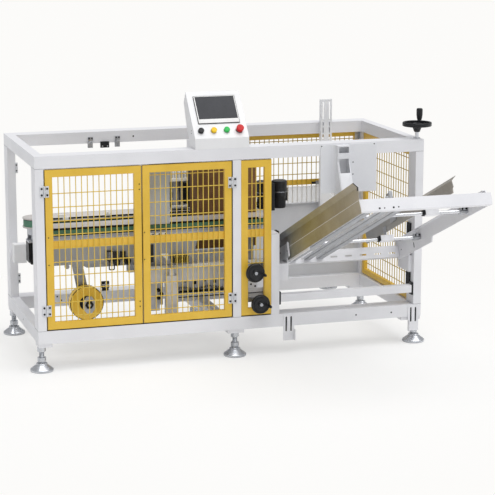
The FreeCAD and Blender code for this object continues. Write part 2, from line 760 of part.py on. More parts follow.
def mast():
    """Slotted channel that hangs from the back top rail and stands up over it, open towards the back."""
    y0 = BACK_Y - MAST_D
    body = box(MAST_X, MAST_X + MAST_W, y0, BACK_Y, MAST_LOW, MAST_TOP)
    bore = box(MAST_X + MAST_WALL, MAST_X + MAST_W - MAST_WALL, y0 + MAST_WALL, BACK_Y, MAST_LOW, MAST_TOP)
    channel = body.cut(bore)
    centre = MAST_X + MAST_W / 2
    spans = [(MAST_TOP - MAST_LONG_SLOT[1], MAST_TOP - MAST_LONG_SLOT[0])]
    for k in range(MAST_SLOTS):
        z = MAST_TOP - MAST_FIRST_SLOT - k * MAST_SLOT_PITCH
        spans.append((z - MAST_SLOT_H, z))
    for low, high in spans:
        for x in (centre - MAST_SLOT_OFFSET, centre + MAST_SLOT_OFFSET):
            channel = channel.cut(box(x - MAST_SLOT_W / 2, x + MAST_SLOT_W / 2, y0 - 1,
                                      y0 + MAST_WALL + 1, low, high))
    return channel


def belt_outline(radius, centres, sides=24):
    """Outline (x, y) round one or two drum axes, with flat-sided ends that all share their angles."""
    half = sides // 2
    left, right = centres[0], centres[-1]
    points = []
    for k in range(half + 1):
        a = -pi / 2 + k * pi / half
        points.append((right[0] + radius * cos(a), right[1] + radius * sin(a)))
    for k in range(half + 1):
        a = pi / 2 + k * pi / half
        points.append((left[0] + radius * cos(a), left[1] + radius * sin(a)))
    return [p for p, last in zip(points, points[-1:] + points)
            if abs(p[0] - last[0]) + abs(p[1] - last[1]) > 1e-6]


def race_track(radius, z0, z1, y_mid, ends=(BELT_LEFT_X, BELT_RIGHT_X)):
    """Block with round ends about the drum axes."""
    outline = belt_outline(radius, [(x, y_mid) for x in ends])
    return prism([V(x, y, z0 + FOOT_H) for x, y in outline], V(0, 0, z1 - z0))


BELT_LOW_Z = BELT_TOP_Z - BELT_H
BELT_UNITS = ((BELT_Y_FRONT, -1), (BELT_Y_BACK, 1))


def side_belts():
    """Two belts, each one fixed loop round its pair of drums."""
    loops = []
    for y_mid, _ in BELT_UNITS:
        outer = race_track(BELT_R, BELT_LOW_Z, BELT_TOP_Z, y_mid)
        inner = race_track(BELT_R - BELT_T, BELT_LOW_Z, BELT_TOP_Z, y_mid)
        loops.append(outer.cut(inner))
    return pair(loops)


def belt_drums():
    """Drum at each end of each belt unit."""
    radius = BELT_R - BELT_T
    gap = RUNNING_GAP
    drums = []
    for y_mid, _ in BELT_UNITS:
        for x in (BELT_LEFT_X, BELT_RIGHT_X):
            drums.append(race_track(radius, BELT_LOW_Z - gap, BELT_TOP_Z + gap, y_mid, (x,)))
    return drums


def belt_frames():
    """Cover plate, slider core, base plate and outer lip of each belt unit."""
    frames = []
    over = BELT_R + BELT_COVER_OVER
    for y_mid, side in BELT_UNITS:
        cover = race_track(over, BELT_TOP_Z + RUNNING_GAP, BELT_TOP_Z + BELT_PLATE_T, y_mid)
        base = race_track(over, BELT_LOW_Z - BELT_PLATE_T, BELT_LOW_Z - RUNNING_GAP, y_mid)
        inner = sorted((y_mid - side * (BELT_R - BELT_COVER_SETBACK), y_mid - side * 2 * BELT_R))
        lane = box(0, BELT_RIGHT_X + 2 * BELT_R, inner[0], inner[1], 0, BELT_TOP_Z + 2 * BELT_PLATE_T)
        cover = cover.cut(lane)
        base = base.cut(lane)
        core_w = BELT_R - BELT_T
        core = box(BELT_LEFT_X + BELT_R + 6, BELT_RIGHT_X - BELT_R - 6, y_mid - core_w, y_mid + core_w,
                   BELT_LOW_Z - BELT_PLATE_T, BELT_TOP_Z + BELT_PLATE_T)
        edge = y_mid + side * over
        lip_y = sorted((edge, edge + side * BELT_LIP_T))
        lip = box(BELT_LEFT_X - 20, BELT_RIGHT_X + 20, lip_y[0], lip_y[1],
                  BELT_LOW_Z - BELT_PLATE_T - 16, BELT_LOW_Z - BELT_PLATE_T - 16 + BELT_LIP_H)
        rib = box(BELT_LEFT_X - 20, BELT_RIGHT_X + 20, min(edge, y_mid), max(edge, y_mid),
                  BELT_LOW_Z - BELT_PLATE_T, BELT_LOW_Z - RUNNING_GAP)
        frames.append(fuse([cover, base, core, lip, rib]))
    return pair(frames + belt_drums())


def beam_lines(y_mid, side):
    """Outer and inner face of a unit's plate beam."""
    outer = y_mid + side * BELT_R
    return outer, outer - side * BEAM_T


def belt_beams():
    """Deep plate beam under each belt unit, with a slanted right end, and its uprights."""
    top = BELT_LOW_Z - BELT_PLATE_T
    outline = [(BEAM_X0, BEAM_LOW_Z), (BEAM_X1 - BEAM_SLANT, BEAM_LOW_Z), (BEAM_X1, top), (BEAM_X0, top)]
    solids = []
    for y_mid, side in BELT_UNITS:
        y0 = min(beam_lines(y_mid, side))
        solids.append(prism([V(x, y0, z + FOOT_H) for x, z in outline], V(0, BEAM_T, 0)))
        for x in UPRIGHT_X:
            solids.append(box(x, x + UPRIGHT_W, y_mid - UPRIGHT_T / 2, y_mid + UPRIGHT_T / 2,
                              CHANNEL_TOP, top))
    return pair(solids)


GEAR_TOP_Z = BELT_LOW_Z - BELT_PLATE_T
NECK_TOP_Z = GEAR_TOP_Z - GEARBOX_H
FLANGE_TOP_Z = NECK_TOP_Z - NECK_H
MOTOR_TOP_Z = FLANGE_TOP_Z - MOTOR_FLANGE_T


def belt_gearboxes():
    """Gearbox, neck and flange under the left drum of each unit."""
    gears = []
    for y_mid, _ in BELT_UNITS:
        x, y = BELT_LEFT_X, y_mid
        body = drum(GEARBOX_R, (x, y, NECK_TOP_Z), (x, y, GEAR_TOP_Z))
        neck = drum(NECK_R, (x, y, FLANGE_TOP_Z), (x, y, NECK_TOP_Z), 16)
        flange = box(x - MOTOR_W / 2, x + MOTOR_W / 2, y - MOTOR_W / 2 + 10, y + MOTOR_W / 2 - 10,
                     MOTOR_TOP_Z, FLANGE_TOP_Z)
        gears.append(fuse([body, neck, flange]))
    return pair(gears)


def belt_motors():
    """Finned motor below each gearbox."""
    motors = []
    for y_mid, _ in BELT_UNITS:
        x, y = BELT_LEFT_X, y_mid
        half = MOTOR_W / 2
        low = MOTOR_TOP_Z - MOTOR_H
        core = box(x - half + 8, x + half - 8, y - half + 18, y + half - 18, low, MOTOR_TOP_Z)
        pieces = [core]
        pitch = (MOTOR_W - MOTOR_FIN_T) / (MOTOR_FINS - 1)
        for k in range(MOTOR_FINS):
            fx = x - half + k * pitch
            pieces.append(box(fx, fx + MOTOR_FIN_T, y - half + 10, y + half - 10, low + 8, MOTOR_TOP_Z))
        motors.append(fuse(pieces))
    return pair(motors)


def junction_box():
    body = box(BOX_X, BOX_X + BOX_W, BOX_Y, BOX_Y + BOX_D, BOX_LOW, BOX_LOW + BOX_H)
    arm = box(BOX_X + 12, BOX_X + 12 + BOX_ARM, BOX_Y + BOX_D, BACK_Y, BOX_LOW + 40, BOX_LOW + 40 + BOX_ARM)
    return fuse([body, arm])


CASE_Y0 = BELT_Y_FRONT + BELT_R + RUNNING_GAP
CASE_Y1 = BELT_Y_BACK - BELT_R - RUNNING_GAP


def erected_case():
    """Open case held between the belts, with its top flaps standing up."""
    outer = box(CASE_X0, CASE_X1, CASE_Y0, CASE_Y1, BED_Z, CASE_TOP)
    inner = box(CASE_X0 + CASE_WALL, CASE_X1 - CASE_WALL, CASE_Y0 + CASE_WALL, CASE_Y1 - CASE_WALL,
                BED_Z + CASE_WALL, CASE_TOP)
    shell = outer.cut(inner)
    slot_low = CASE_TOP - CASE_FLAP_H
    for x in (CASE_X0, CASE_X1 - CASE_WALL):
        for y in (CASE_Y0, CASE_Y1 - CASE_FLAP_SLOT):
            shell = shell.cut(box(x, x + CASE_WALL, y, y + CASE_FLAP_SLOT, slot_low, CASE_TOP))
    return shell


def case_bed():
    """Two slide strips that the case bottom runs on, over tie rods between the belt units."""
    solids = []
    for y in (CASE_Y0 + BED_STRIP_INSET, CASE_Y1 - BED_STRIP_INSET - BED_STRIP_W):
        solids.append(box(BED_STRIP_X0, BELT_RIGHT_X + 30, y, y + BED_STRIP_W,
                          BED_Z - BED_STRIP_T, BED_Z))
    z = BED_Z - BED_STRIP_T - BED_ROD_R
    for x in BED_ROD_X:
        start = BELT_Y_FRONT + UPRIGHT_T / 2 if x > BEAM_X1 else max(beam_lines(BELT_Y_FRONT, -1))
        solids.append(drum(BED_ROD_R, (x, start, z), (x, mirror_y(start), z), 8))
    return pair(solids)


def mirror_y(y):
    """The same line on the back belt unit."""
    return BELT_Y_FRONT + BELT_Y_BACK - y


def support_channels():
    """Long channel under each belt unit, open towards the middle of the machine."""
    channels = []
    for back in (False, True):
        y0, y1 = CHANNEL_Y, CHANNEL_Y + CHANNEL_D
        open0, open1 = y0 + CHANNEL_WALL, y1
        if back:
            y0, y1 = mirror_y(y1), mirror_y(y0)
            open0, open1 = y0, y1 - CHANNEL_WALL
        low = CHANNEL_TOP - CHANNEL_H
        body = box(CHANNEL_X0, SHORT_POST_X1, y0, y1, low, CHANNEL_TOP)
        bore = box(CHANNEL_X0, SHORT_POST_X1, open0, open1, low + CHANNEL_WALL, CHANNEL_TOP - CHANNEL_WALL)
        channels.append(body.cut(bore))
    return channels


def support_columns():
    """Square column with a telescopic core and a foot bracket to the bottom rail."""
    columns = []
    low = CHANNEL_TOP - CHANNEL_H
    for back in (False, True):
        y1 = CHANNEL_Y
        y0 = y1 - COLUMN_W + 20
        rail_y = POST_D
        if back:
            y0, y1 = mirror_y(y1), mirror_y(y0)
            rail_y = BACK_Y
        outer = box(COLUMN_X, COLUMN_X + COLUMN_W, y0, y1, 0, COLUMN_TOP)
        mid_x = COLUMN_X + COLUMN_W / 2
        core = box(mid_x - COLUMN_CORE / 2, mid_x + COLUMN_CORE / 2, y0 + 8, y1, COLUMN_TOP, CHANNEL_TOP - 4)
        reach = sorted((rail_y, y0 if not back else y1))
        bracket = box(COLUMN_X, COLUMN_X + COLUMN_W, reach[0], reach[1], 8, 8 + BRACKET_H)
        columns.append(fuse([outer, core, bracket]))
    return columns


def tape_head():
    """Two side plates with a spacer, the slanted roll arm and its axle."""
    y0 = MIDDLE_Y - TAPE_HEAD_W / 2 + 6
    y1 = y0 + TAPE_HEAD_W
    top = BED_Z - BED_STRIP_T - 2 * BED_ROD_R
    outline = [(TAPE_HEAD_X0, top), (TAPE_HEAD_X1, top), (TAPE_HEAD_X1, TAPE_HEAD_LOW + 30),
               (TAPE_HEAD_X1 - 60, TAPE_HEAD_LOW), (TAPE_HEAD_X0 + 40, TAPE_HEAD_LOW),
               (TAPE_HEAD_X0, TAPE_HEAD_LOW + 24)]
    pieces = []
    for y in (y0, y1 - TAPE_PLATE_T):
        pieces.append(prism([V(x, y, z + FOOT_H) for x, z in outline], V(0, TAPE_PLATE_T, 0)))
    pieces.append(box(TAPE_HEAD_X0 + 10, TAPE_HEAD_X0 + 60, y0, y1, TAPE_HEAD_LOW + 24, top))
    pieces.append(box(TAPE_HEAD_X1 - 60, TAPE_HEAD_X1 - 20, y0, y1, TAPE_HEAD_LOW + 24, top))
    arm_y = MIDDLE_Y + ROLL_W / 2 + ROLL_CORE_OUT + RUNNING_GAP
    dx = TAPE_ARM_TOP_X - ROLL_X
    dz = TAPE_ARM_TOP_Z - ROLL_Z
    length = sqrt(dx * dx + dz * dz)
    nx, nz = -dz / length * TAPE_ARM_W / 2, dx / length * TAPE_ARM_W / 2
    corners = [(ROLL_X - nx, ROLL_Z - nz), (ROLL_X + nx, ROLL_Z + nz),
               (TAPE_ARM_TOP_X + nx, TAPE_ARM_TOP_Z + nz), (TAPE_ARM_TOP_X - nx, TAPE_ARM_TOP_Z - nz)]
    pieces.append(prism([V(x, arm_y, z + FOOT_H) for x, z in corners], V(0, TAPE_ARM_T, 0)))
    pieces.append(rod(TAPE_ARM_W / 2, (ROLL_X, arm_y, ROLL_Z), (ROLL_X, arm_y + TAPE_ARM_T, ROLL_Z)))
    pieces.append(rod(AXLE_R, (ROLL_X, MIDDLE_Y - ROLL_W / 2 - ROLL_CORE_OUT, ROLL_Z),
                      (ROLL_X, arm_y, ROLL_Z)))
    bridge_y = sorted((y1 - TAPE_PLATE_T, arm_y + TAPE_ARM_T))
    pieces.append(box(TAPE_HEAD_X0, TAPE_HEAD_X0 + 50, bridge_y[0], bridge_y[1],
                      TAPE_ARM_TOP_Z - 20, TAPE_ARM_TOP_Z + 20))
    hangers = []
    for x in (BED_ROD_X[0], BED_ROD_X[1]):
        near = TAPE_HEAD_X0 + 20 if x < TAPE_HEAD_X0 else TAPE_HEAD_X1 - 30
        ends = sorted((x, near))
        hangers.append(box(ends[0] - 8, ends[1] + 8, MIDDLE_Y, MIDDLE_Y + 12, top - 22, top))
    return fuse(pieces + hangers)


def tape_rollers():
    """Black wipe rollers between the side plates."""
    y0 = MIDDLE_Y - TAPE_HEAD_W / 2 + 6 + TAPE_PLATE_T + RUNNING_GAP
    y1 = y0 + TAPE_HEAD_W - 2 * TAPE_PLATE_T - 2 * RUNNING_GAP
    z = BED_Z - BED_STRIP_T - 2 * BED_ROD_R - 20
    return pair([drum(TAPE_ROLLER_R, (x, y0, z), (x, y1, z), 18) for x in TAPE_ROLLER_X])


def tape_roll():
    """Roll of tape on its core, free to turn on the axle."""
    y0 = MIDDLE_Y - ROLL_W / 2
    y1 = MIDDLE_Y + ROLL_W / 2
    tape = drum(ROLL_R, (ROLL_X, y0, ROLL_Z), (ROLL_X, y1, ROLL_Z), 36)
    core = drum(ROLL_CORE_R, (ROLL_X, y0 - ROLL_CORE_OUT, ROLL_Z), (ROLL_X, y1 + ROLL_CORE_OUT, ROLL_Z))
    bore = rod(AXLE_R + AXLE_FIT, (ROLL_X, y0 - 2 * ROLL_CORE_OUT, ROLL_Z),
               (ROLL_X, y1 + 2 * ROLL_CORE_OUT, ROLL_Z))
    return fuse([tape, core]).cut(bore)


COVER_TOP_Z = BELT_TOP_Z + BELT_PLATE_T


def flap_head():
    """Upright housing that stands on the back belt unit."""
    y0 = BELT_Y_BACK - HEAD_D / 2
    body = box(HEAD_X, HEAD_X + HEAD_W, y0, y0 + HEAD_D, COVER_TOP_Z, HEAD_TOP)
    foot = box(HEAD_X - 12, HEAD_X + HEAD_W + 12, y0 - 8, y0 + HEAD_D + 8, COVER_TOP_Z, COVER_TOP_Z + 8)
    return fuse([body, foot])


def valve_block():
    """Air valve block on the side of the flap head, with two cylinders below it."""
    y0 = BELT_Y_BACK - VALVE_D / 2
    body = box(HEAD_X + HEAD_W, VALVE_X + VALVE_W, y0, y0 + VALVE_D, VALVE_LOW, VALVE_TOP)
    ridges = [box(VALVE_X + 8 + k * 20, VALVE_X + 20 + k * 20, y0 - 6, y0, VALVE_LOW + 6, VALVE_TOP - 6)
              for k in range(4)]
    return pair([fuse([body] + ridges)] + flap_cylinders())


def flap_cylinders():
    """Two air cylinders below the valve block."""
    solids = []
    for k in range(2):
        x = VALVE_X + CYLINDER_R + k * CYLINDER_GAP
        barrel = drum(CYLINDER_R - 3, (x, BELT_Y_BACK, COVER_TOP_Z + 12), (x, BELT_Y_BACK, VALVE_LOW), 16)
        base = box(x - CYLINDER_R + 2, x + CYLINDER_R - 2, BELT_Y_BACK - CYLINDER_R + 2,
                   BELT_Y_BACK + CYLINDER_R - 2, COVER_TOP_Z, COVER_TOP_Z + 12)
        solids.append(fuse([barrel, base]))
    return solids


def suction_drum(x):
    """Upright suction drum: a wide top can, a ring and a waist under it, then a narrower body."""
    neck = SUCTION_NECK_Z - SUCTION_LOW
    ring = SUCTION_RING_Z - SUCTION_LOW
    height = SUCTION_TOP - SUCTION_LOW
    waist_r = SUCTION_R - 4
    profile = [(0, 0), (SUCTION_BODY_R - 2, 0), (SUCTION_BODY_R, 4), (SUCTION_BODY_R, neck),
               (waist_r, neck + 3), (waist_r, ring - SUCTION_RING_T), (SUCTION_R, ring),
               (SUCTION_R, height - 3), (SUCTION_R - 3, height), (0, height)]
    return turned(profile, 24, V(x, SUCTION_Y, SUCTION_LOW + FOOT_H), Z_AXIS)


def suction_motor():
    """Pair of suction drums on an upright plate, with a terminal box and a bracket to the belt unit."""
    y = SUCTION_Y
    plate_x = SUCTION_X + SUCTION_PITCH / 2
    plate = box(plate_x - SUCTION_BRACKET_T, plate_x + SUCTION_BRACKET_T, y - SUCTION_BODY_R,
                y + SUCTION_BODY_R, SUCTION_LOW - SUCTION_BRACKET_T, SUCTION_TOP - SUCTION_BRACKET_T)
    right_x = SUCTION_X + SUCTION_PITCH
    terminals = box(right_x, right_x + SUCTION_BOX_X, y, y + SUCTION_BOX_W, *SUCTION_BOX_Z)
    bracket = box(BELT_RIGHT_X + BELT_R - 50, plate_x, y - SUCTION_BRACKET_W / 2, y + SUCTION_BRACKET_W / 2,
                  COVER_TOP_Z, COVER_TOP_Z + SUCTION_BRACKET_T)
    drums = [suction_drum(x) for x in (SUCTION_X, right_x)]
    return fuse([*drums, plate, terminals, bracket])


def tilt(shape):
    """Turn a hopper piece from its level drawing to the slope and lift it into place."""
    shape.rotate(V(0, 0, 0), X_AXIS, -HOPPER_DEG)
    shape.translate(V(0, 0, HOPPER_Z + FOOT_H))
    return shape


def flat(x0, x1, y0, y1, z0, z1):
    """Block in the hopper's level drawing."""
    return Part.makeBox(x1 - x0, y1 - y0, z1 - z0, V(x0, y0, z0))


def hopper_arms():
    """Side plates of the hopper: deeper near the machine, with a flange on top."""
    y_out = -HOPPER_OUT + SHEET_T
    beam_in = -HOPPER_OUT + OUTER_BEAM_D
    beam_top = OUTER_BEAM_LOW + OUTER_BEAM_H - SHEET_T
    outline = [(y_out, 0), (y_out, beam_top), (beam_in + 5, beam_top), (beam_in + 20, ARM_H),
               (HOPPER_IN, ARM_H), (HOPPER_IN, -ARM_DROP), (-ARM_KINK, -ARM_DROP), (-ARM_KINK - 16, 0)]
    arms = []
    for x, side in ((HOPPER_X0, 1), (HOPPER_X1 - ARM_PLATE_T, -1)):
        plate = prism([V(x, y, z) for y, z in outline], V(ARM_PLATE_T, 0, 0))
        flange_x = x + ARM_PLATE_T if side > 0 else x - ARM_FLANGE
        flange = flat(flange_x, flange_x + ARM_FLANGE, beam_in + 20, HOPPER_IN, ARM_H - SHEET_T, ARM_H)
        arms.append(tilt(fuse([plate, flange])))
    return pair(arms)


def outer_beam():
    """Folded channel across the upper end of the hopper, closed towards the front."""
    y0 = -HOPPER_OUT
    z0 = OUTER_BEAM_LOW
    z1 = z0 + OUTER_BEAM_H
    body = flat(HOPPER_X0, HOPPER_X1, y0, y0 + OUTER_BEAM_D, z0, z1)
    bore = flat(HOPPER_X0, HOPPER_X1, y0 + SHEET_T, y0 + OUTER_BEAM_D, z0 + SHEET_T, z1 - SHEET_T)
    return tilt(body.cut(bore))


def hopper_beams():
    return pair([outer_beam(), inner_beam()])


def inner_beam():
    """Slotted channel across the lower end of the hopper."""
    y0 = HOPPER_IN - INNER_BEAM_D
    z0 = INNER_BEAM_LOW
    x0 = HOPPER_X0 + ARM_PLATE_T
    x1 = HOPPER_X1 - ARM_PLATE_T
    body = flat(x0, x1, y0, HOPPER_IN, z0, z0 + INNER_BEAM_H)
    bore = flat(x0, x1, y0 + SHEET_T, HOPPER_IN, z0 + SHEET_T, z0 + INNER_BEAM_H - SHEET_T)
    beam = body.cut(bore)
    pitch = (x1 - x0) / INNER_SLOTS
    for k in range(INNER_SLOTS):
        x = x0 + (k + 0.5) * pitch - INNER_SLOT_L / 2
        beam = beam.cut(flat(x, x + INNER_SLOT_L, y0 - 1, y0 + SHEET_T + 1, z0 + 20, z0 + 20 + INNER_SLOT_H))
    return tilt(beam)


def slide_bars():
    """Three bars that the blanks stand on, between the two beams."""
    y0 = -HOPPER_OUT + SHEET_T
    y1 = HOPPER_IN - INNER_BEAM_D
    bars = []
    for x in SLIDE_BAR_X:
        body = flat(x - SLIDE_BAR_W / 2, x + SLIDE_BAR_W / 2, y0, y1, 0, SLIDE_BAR_H)
        groove = flat(x - SLIDE_BAR_W / 2 + SHEET_T, x + SLIDE_BAR_W / 2 - SHEET_T, y0, y1, 0,
                      SLIDE_BAR_H - SHEET_T)
        bars.append(tilt(body.cut(groove)))
    return pair(bars)


def guide_rods():
    """Two round rods across the hopper with a clamp at each end."""
    solids = []
    x0 = HOPPER_X0 + ARM_PLATE_T
    x1 = HOPPER_X1 - ARM_PLATE_T
    for y in ROD_Y:
        shaft = Part.makeCylinder(ROD_R, x1 - x0, V(x0, y, ROD_Z), X_AXIS)
        pieces = [shaft]
        for x in (x0, x1 - CLAMP_W):
            pieces.append(flat(x, x + CLAMP_W, y - CLAMP_H / 2, y + CLAMP_H / 2,
                               ROD_Z - ROD_R - 4, ROD_Z + ROD_R + 9))
        solids.append(tilt(fuse(pieces)))
    return pair(solids)


def guide_profile(low, high, side):
    """Cross-section of a folded guide: upright web with a shallow fold, flared top edge."""
    mid = (low + high) / 2
    t = GUIDE_T
    inner = [(0, low), (0, low + GUIDE_HEM), (side * GUIDE_FOLD, mid), (0, high),
             (side * GUIDE_FLARE, high + GUIDE_FLARE)]
    outer = [(x + side * t, z) for x, z in inner]
    return inner + outer[::-1]


def left_guide():
    """Tall folded guide on the outside of the left arm."""
    y0 = -LEFT_GUIDE_OUT
    outline = guide_profile(LEFT_GUIDE_LOW, LEFT_GUIDE_H, -1)
    web = prism([V(HOPPER_X0 + x, y0, z) for x, z in outline], V(0, LEFT_GUIDE_OUT + HOPPER_IN, 0))
    notch = box(HOPPER_X0 - 40, HOPPER_X0, CARRIAGE_Y0, CARRIAGE_Y1, CARRIAGE_LOW, CARRIAGE_TOP)
    return tilt(web).cut(notch)


def right_guide():
    """Folded guide on two blocks that slide along the rods."""
    outline = guide_profile(RIGHT_GUIDE_LOW, RIGHT_GUIDE_H, 1)
    web = prism([V(RIGHT_GUIDE_X + x, -HOPPER_OUT, z) for x, z in outline],
                V(0, HOPPER_OUT + RIGHT_GUIDE_IN, 0))
    pieces = [web]
    x0 = RIGHT_GUIDE_X - GUIDE_BLOCK_W / 2
    bores = []
    for y in ROD_Y:
        pieces.append(flat(x0, x0 + GUIDE_BLOCK_W, y - CLAMP_H / 2, y + CLAMP_H / 2,
                           ROD_Z - ROD_R - 4, ROD_Z + ROD_R + 12))
        pieces.append(flat(RIGHT_GUIDE_X, RIGHT_GUIDE_X + GUIDE_T, y - CLAMP_H / 2, y + CLAMP_H / 2,
                           ROD_Z + ROD_R + 12, RIGHT_GUIDE_LOW))
        bores.append(Part.makeCylinder(ROD_R + ROD_FIT, GUIDE_BLOCK_W, V(x0, y, ROD_Z), X_AXIS))
    guide = fuse(pieces)
    for bore in bores:
        guide = guide.cut(bore)
    return tilt(guide)


LIFT_SIDES = ((SHORT_POST_X1, 1, HOPPER_X0), (RIGHT_POST_X, -1, HOPPER_X1))


def lift_rails():
    """Grooved vertical rail on each of the two posts beside the hopper."""
    rails = []
    for post_x, side, _ in LIFT_SIDES:
        x0, x1 = sorted((post_x, post_x + side * LIFT_RAIL_T))
        body = box(x0, x1, LIFT_RAIL_Y, LIFT_RAIL_Y + LIFT_RAIL_W, LIFT_RAIL_LOW, LIFT_RAIL_TOP)
        face = post_x + side * LIFT_RAIL_T
        g0, g1 = sorted((face, face - side * LIFT_GROOVE))
        for k in (1, 2):
            y = LIFT_RAIL_Y + k * LIFT_RAIL_W / 3
            body = body.cut(box(g0, g1, y - 3, y + 3, LIFT_RAIL_LOW, LIFT_RAIL_TOP))
        rails.append(body)
    return pair(rails)


def hopper_carriages():
    """Block round each lift rail with the plate that carries the hopper arm."""
    solids = []
    for post_x, side, arm_x in LIFT_SIDES:
        face = post_x + side * RUNNING_GAP
        x0, x1 = sorted((face, arm_x))
        block = box(x0, x1, CARRIAGE_Y0, CARRIAGE_BLOCK_Y1, CARRIAGE_LOW, CARRIAGE_BLOCK_TOP)
        r0, r1 = sorted((face, post_x + side * (LIFT_RAIL_T + RUNNING_GAP)))
        bore = box(r0, r1, LIFT_RAIL_Y - RUNNING_GAP, LIFT_RAIL_Y + LIFT_RAIL_W + RUNNING_GAP,
                   CARRIAGE_LOW, CARRIAGE_BLOCK_TOP)
        p0, p1 = sorted((arm_x, arm_x - side * CARRIAGE_T))
        plate = box(p0, p1, CARRIAGE_Y0, CARRIAGE_Y1, CARRIAGE_LOW, CARRIAGE_TOP)
        solids.append(fuse([block.cut(bore), plate]))
    return pair(solids)


def lower_crossbar():
    """Tube across the hopper bay."""
    return tube_along_x(SHORT_POST_X1 + LOW_PAD_T, RIGHT_POST_X - LOW_PAD_T, 2, 2 + LOW_BAR_D,
                        LOW_BAR_Z, LOW_BAR_Z + LOW_BAR_H)


def crossbar_pads():
    """Black end pads between the crossbar and the posts."""
    pads = []
    for x in (SHORT_POST_X1, RIGHT_POST_X - LOW_PAD_T):
        pads.append(box(x, x + LOW_PAD_T, 2, 2 + LOW_BAR_D, LOW_BAR_Z - LOW_PAD_OVER,
                        LOW_BAR_Z + LOW_BAR_H + LOW_PAD_OVER))
    return pair(pads)


def slot(x, z, width, length, y0, depth):
    """Upright slot with round ends, as a cutter."""
    r = width / 2
    reach = length / 2 - r
    outline = [(x + r * cos(k * pi / 4), z + reach + r * sin(k * pi / 4)) for k in range(5)]
    outline += [(x + r * cos(k * pi / 4), z - reach + r * sin(k * pi / 4)) for k in range(4, 9)]
    return prism([V(px, y0, pz + FOOT_H) for px, pz in outline], V(0, depth, 0))


def slotted_brackets():
    """Plates with two slots each, screwed to the front of the bottom rail."""
    solids = []
    for x, side in zip(SLOT_BRACKET_X, (1, -1)):
        t = SLOT_BRACKET_T
        plate = box(x, x + SLOT_BRACKET_W, -t, 0, -SLOT_BRACKET_DROP, SLOT_BRACKET_RISE)
        tab_x = x + SLOT_BRACKET_W - t if side > 0 else x
        tab = box(tab_x, tab_x + t, -SLOT_TAB_D, 0, -SLOT_BRACKET_DROP, SLOT_TAB_H - SLOT_BRACKET_DROP)
        bracket = fuse([plate, tab])
        for share in (0.28, 0.72):
            z = SLOT_BRACKET_RISE - SLOT_L / 2 - 12
            cutter = slot(x + share * SLOT_BRACKET_W, z, SLOT_W, SLOT_L, -t - 1, t + 2)
            bracket = bracket.cut(cutter)
        solids.append(bracket)
    return pair(solids)


def top_handwheel():
    """Flat-sided rim on three arms, with a coned hub, a stem down to the rail and a handle that turns."""
    z = TOP_WHEEL_Z + FOOT_H
    centre = V(TOP_WHEEL_X, TOP_WHEEL_Y, z)
    r, h, t = TOP_WHEEL_R, TOP_WHEEL_RIM_H / 2, TOP_WHEEL_RIM_T
    outer = turned([(0, -h), (r - 6, -h), (r, -h + 5), (r, h - 4), (r - 3, h), (0, h)], 28, centre, Z_AXIS)
    inner = turned([(0, -2 * h), (r - t, -2 * h), (r - t, 2 * h), (0, 2 * h)], 28, centre, Z_AXIS)
    rim = outer.cut(inner)
    drop, hub_r = TOP_WHEEL_HUB_DROP, TOP_WHEEL_HUB_R
    hub = turned([(0, -drop), (TOP_STEM_R + 2, -drop), (hub_r, -h - 1), (hub_r - 6, h / 2), (0, h / 2)], 20,
                 centre, Z_AXIS)
    stem = Part.makeCylinder(TOP_STEM_R, TOP_WHEEL_Z - drop - FRAME_H - RUNNING_GAP,
                             V(TOP_WHEEL_X, TOP_WHEEL_Y, TOP_Z + RUNNING_GAP))
    pieces = [rim, hub, stem]
    for k in range(WHEEL_ARMS):
        arm = Part.makeBox(r - t / 2, 14, 8, V(0, -7, -4))
        arm.rotate(V(0, 0, 0), Z_AXIS, TOP_KNOB_DEG + k * 360 / WHEEL_ARMS)
        arm.translate(centre)
        pieces.append(arm)
    a = radians(TOP_KNOB_DEG)
    knob_at = centre + V((r - t) * cos(a), (r - t) * sin(a), 0)
    knob = [(0, -h / 2), (7, -h / 2), (7, h + 1), (TOP_KNOB_R - 5, h + 3), (TOP_KNOB_R - 0.5, h + 24),
            (TOP_KNOB_R, h + 6 + TOP_KNOB_H), (0, h + 6 + TOP_KNOB_H)]
    pieces.append(turned(knob, 14, knob_at, Z_AXIS))
    return fuse(pieces)


def small_handwheel(x, z):
    """Dished wheel on a shaft, with a handle that points to the front."""
    y0 = SMALL_WHEEL_Y
    t = SMALL_WHEEL_T
    profile = [(0, -14), (15, -14), (17, -3), (SMALL_WHEEL_R - 12, -3), (SMALL_WHEEL_R - 8, -7),
               (SMALL_WHEEL_R, 0), (SMALL_WHEEL_R, t - 5), (SMALL_WHEEL_R - 8, t), (20, t),
               (18, t + 12), (0, t + 12)]
    wheel = turned(profile, 24, V(0, 0, 0), Y_AXIS)
    shaft = Part.makeCylinder(WHEEL_SHAFT_R, CHANNEL_Y - y0 - t - 13, V(0, t + 12, 0), Y_AXIS)
    a = radians(-10)
    reach = SMALL_WHEEL_R - 9
    grip_at = V(reach * cos(a), -6, reach * sin(a))
    grip = turned([(0, 0), (WHEEL_HANDLE_R, 0), (WHEEL_HANDLE_R, WHEEL_HANDLE_L), (0, WHEEL_HANDLE_L)], 10,
                  grip_at, -Y_AXIS)
    wheel = fuse([wheel, shaft, grip])
    wheel.translate(V(x, y0, z + FOOT_H))
    return wheel


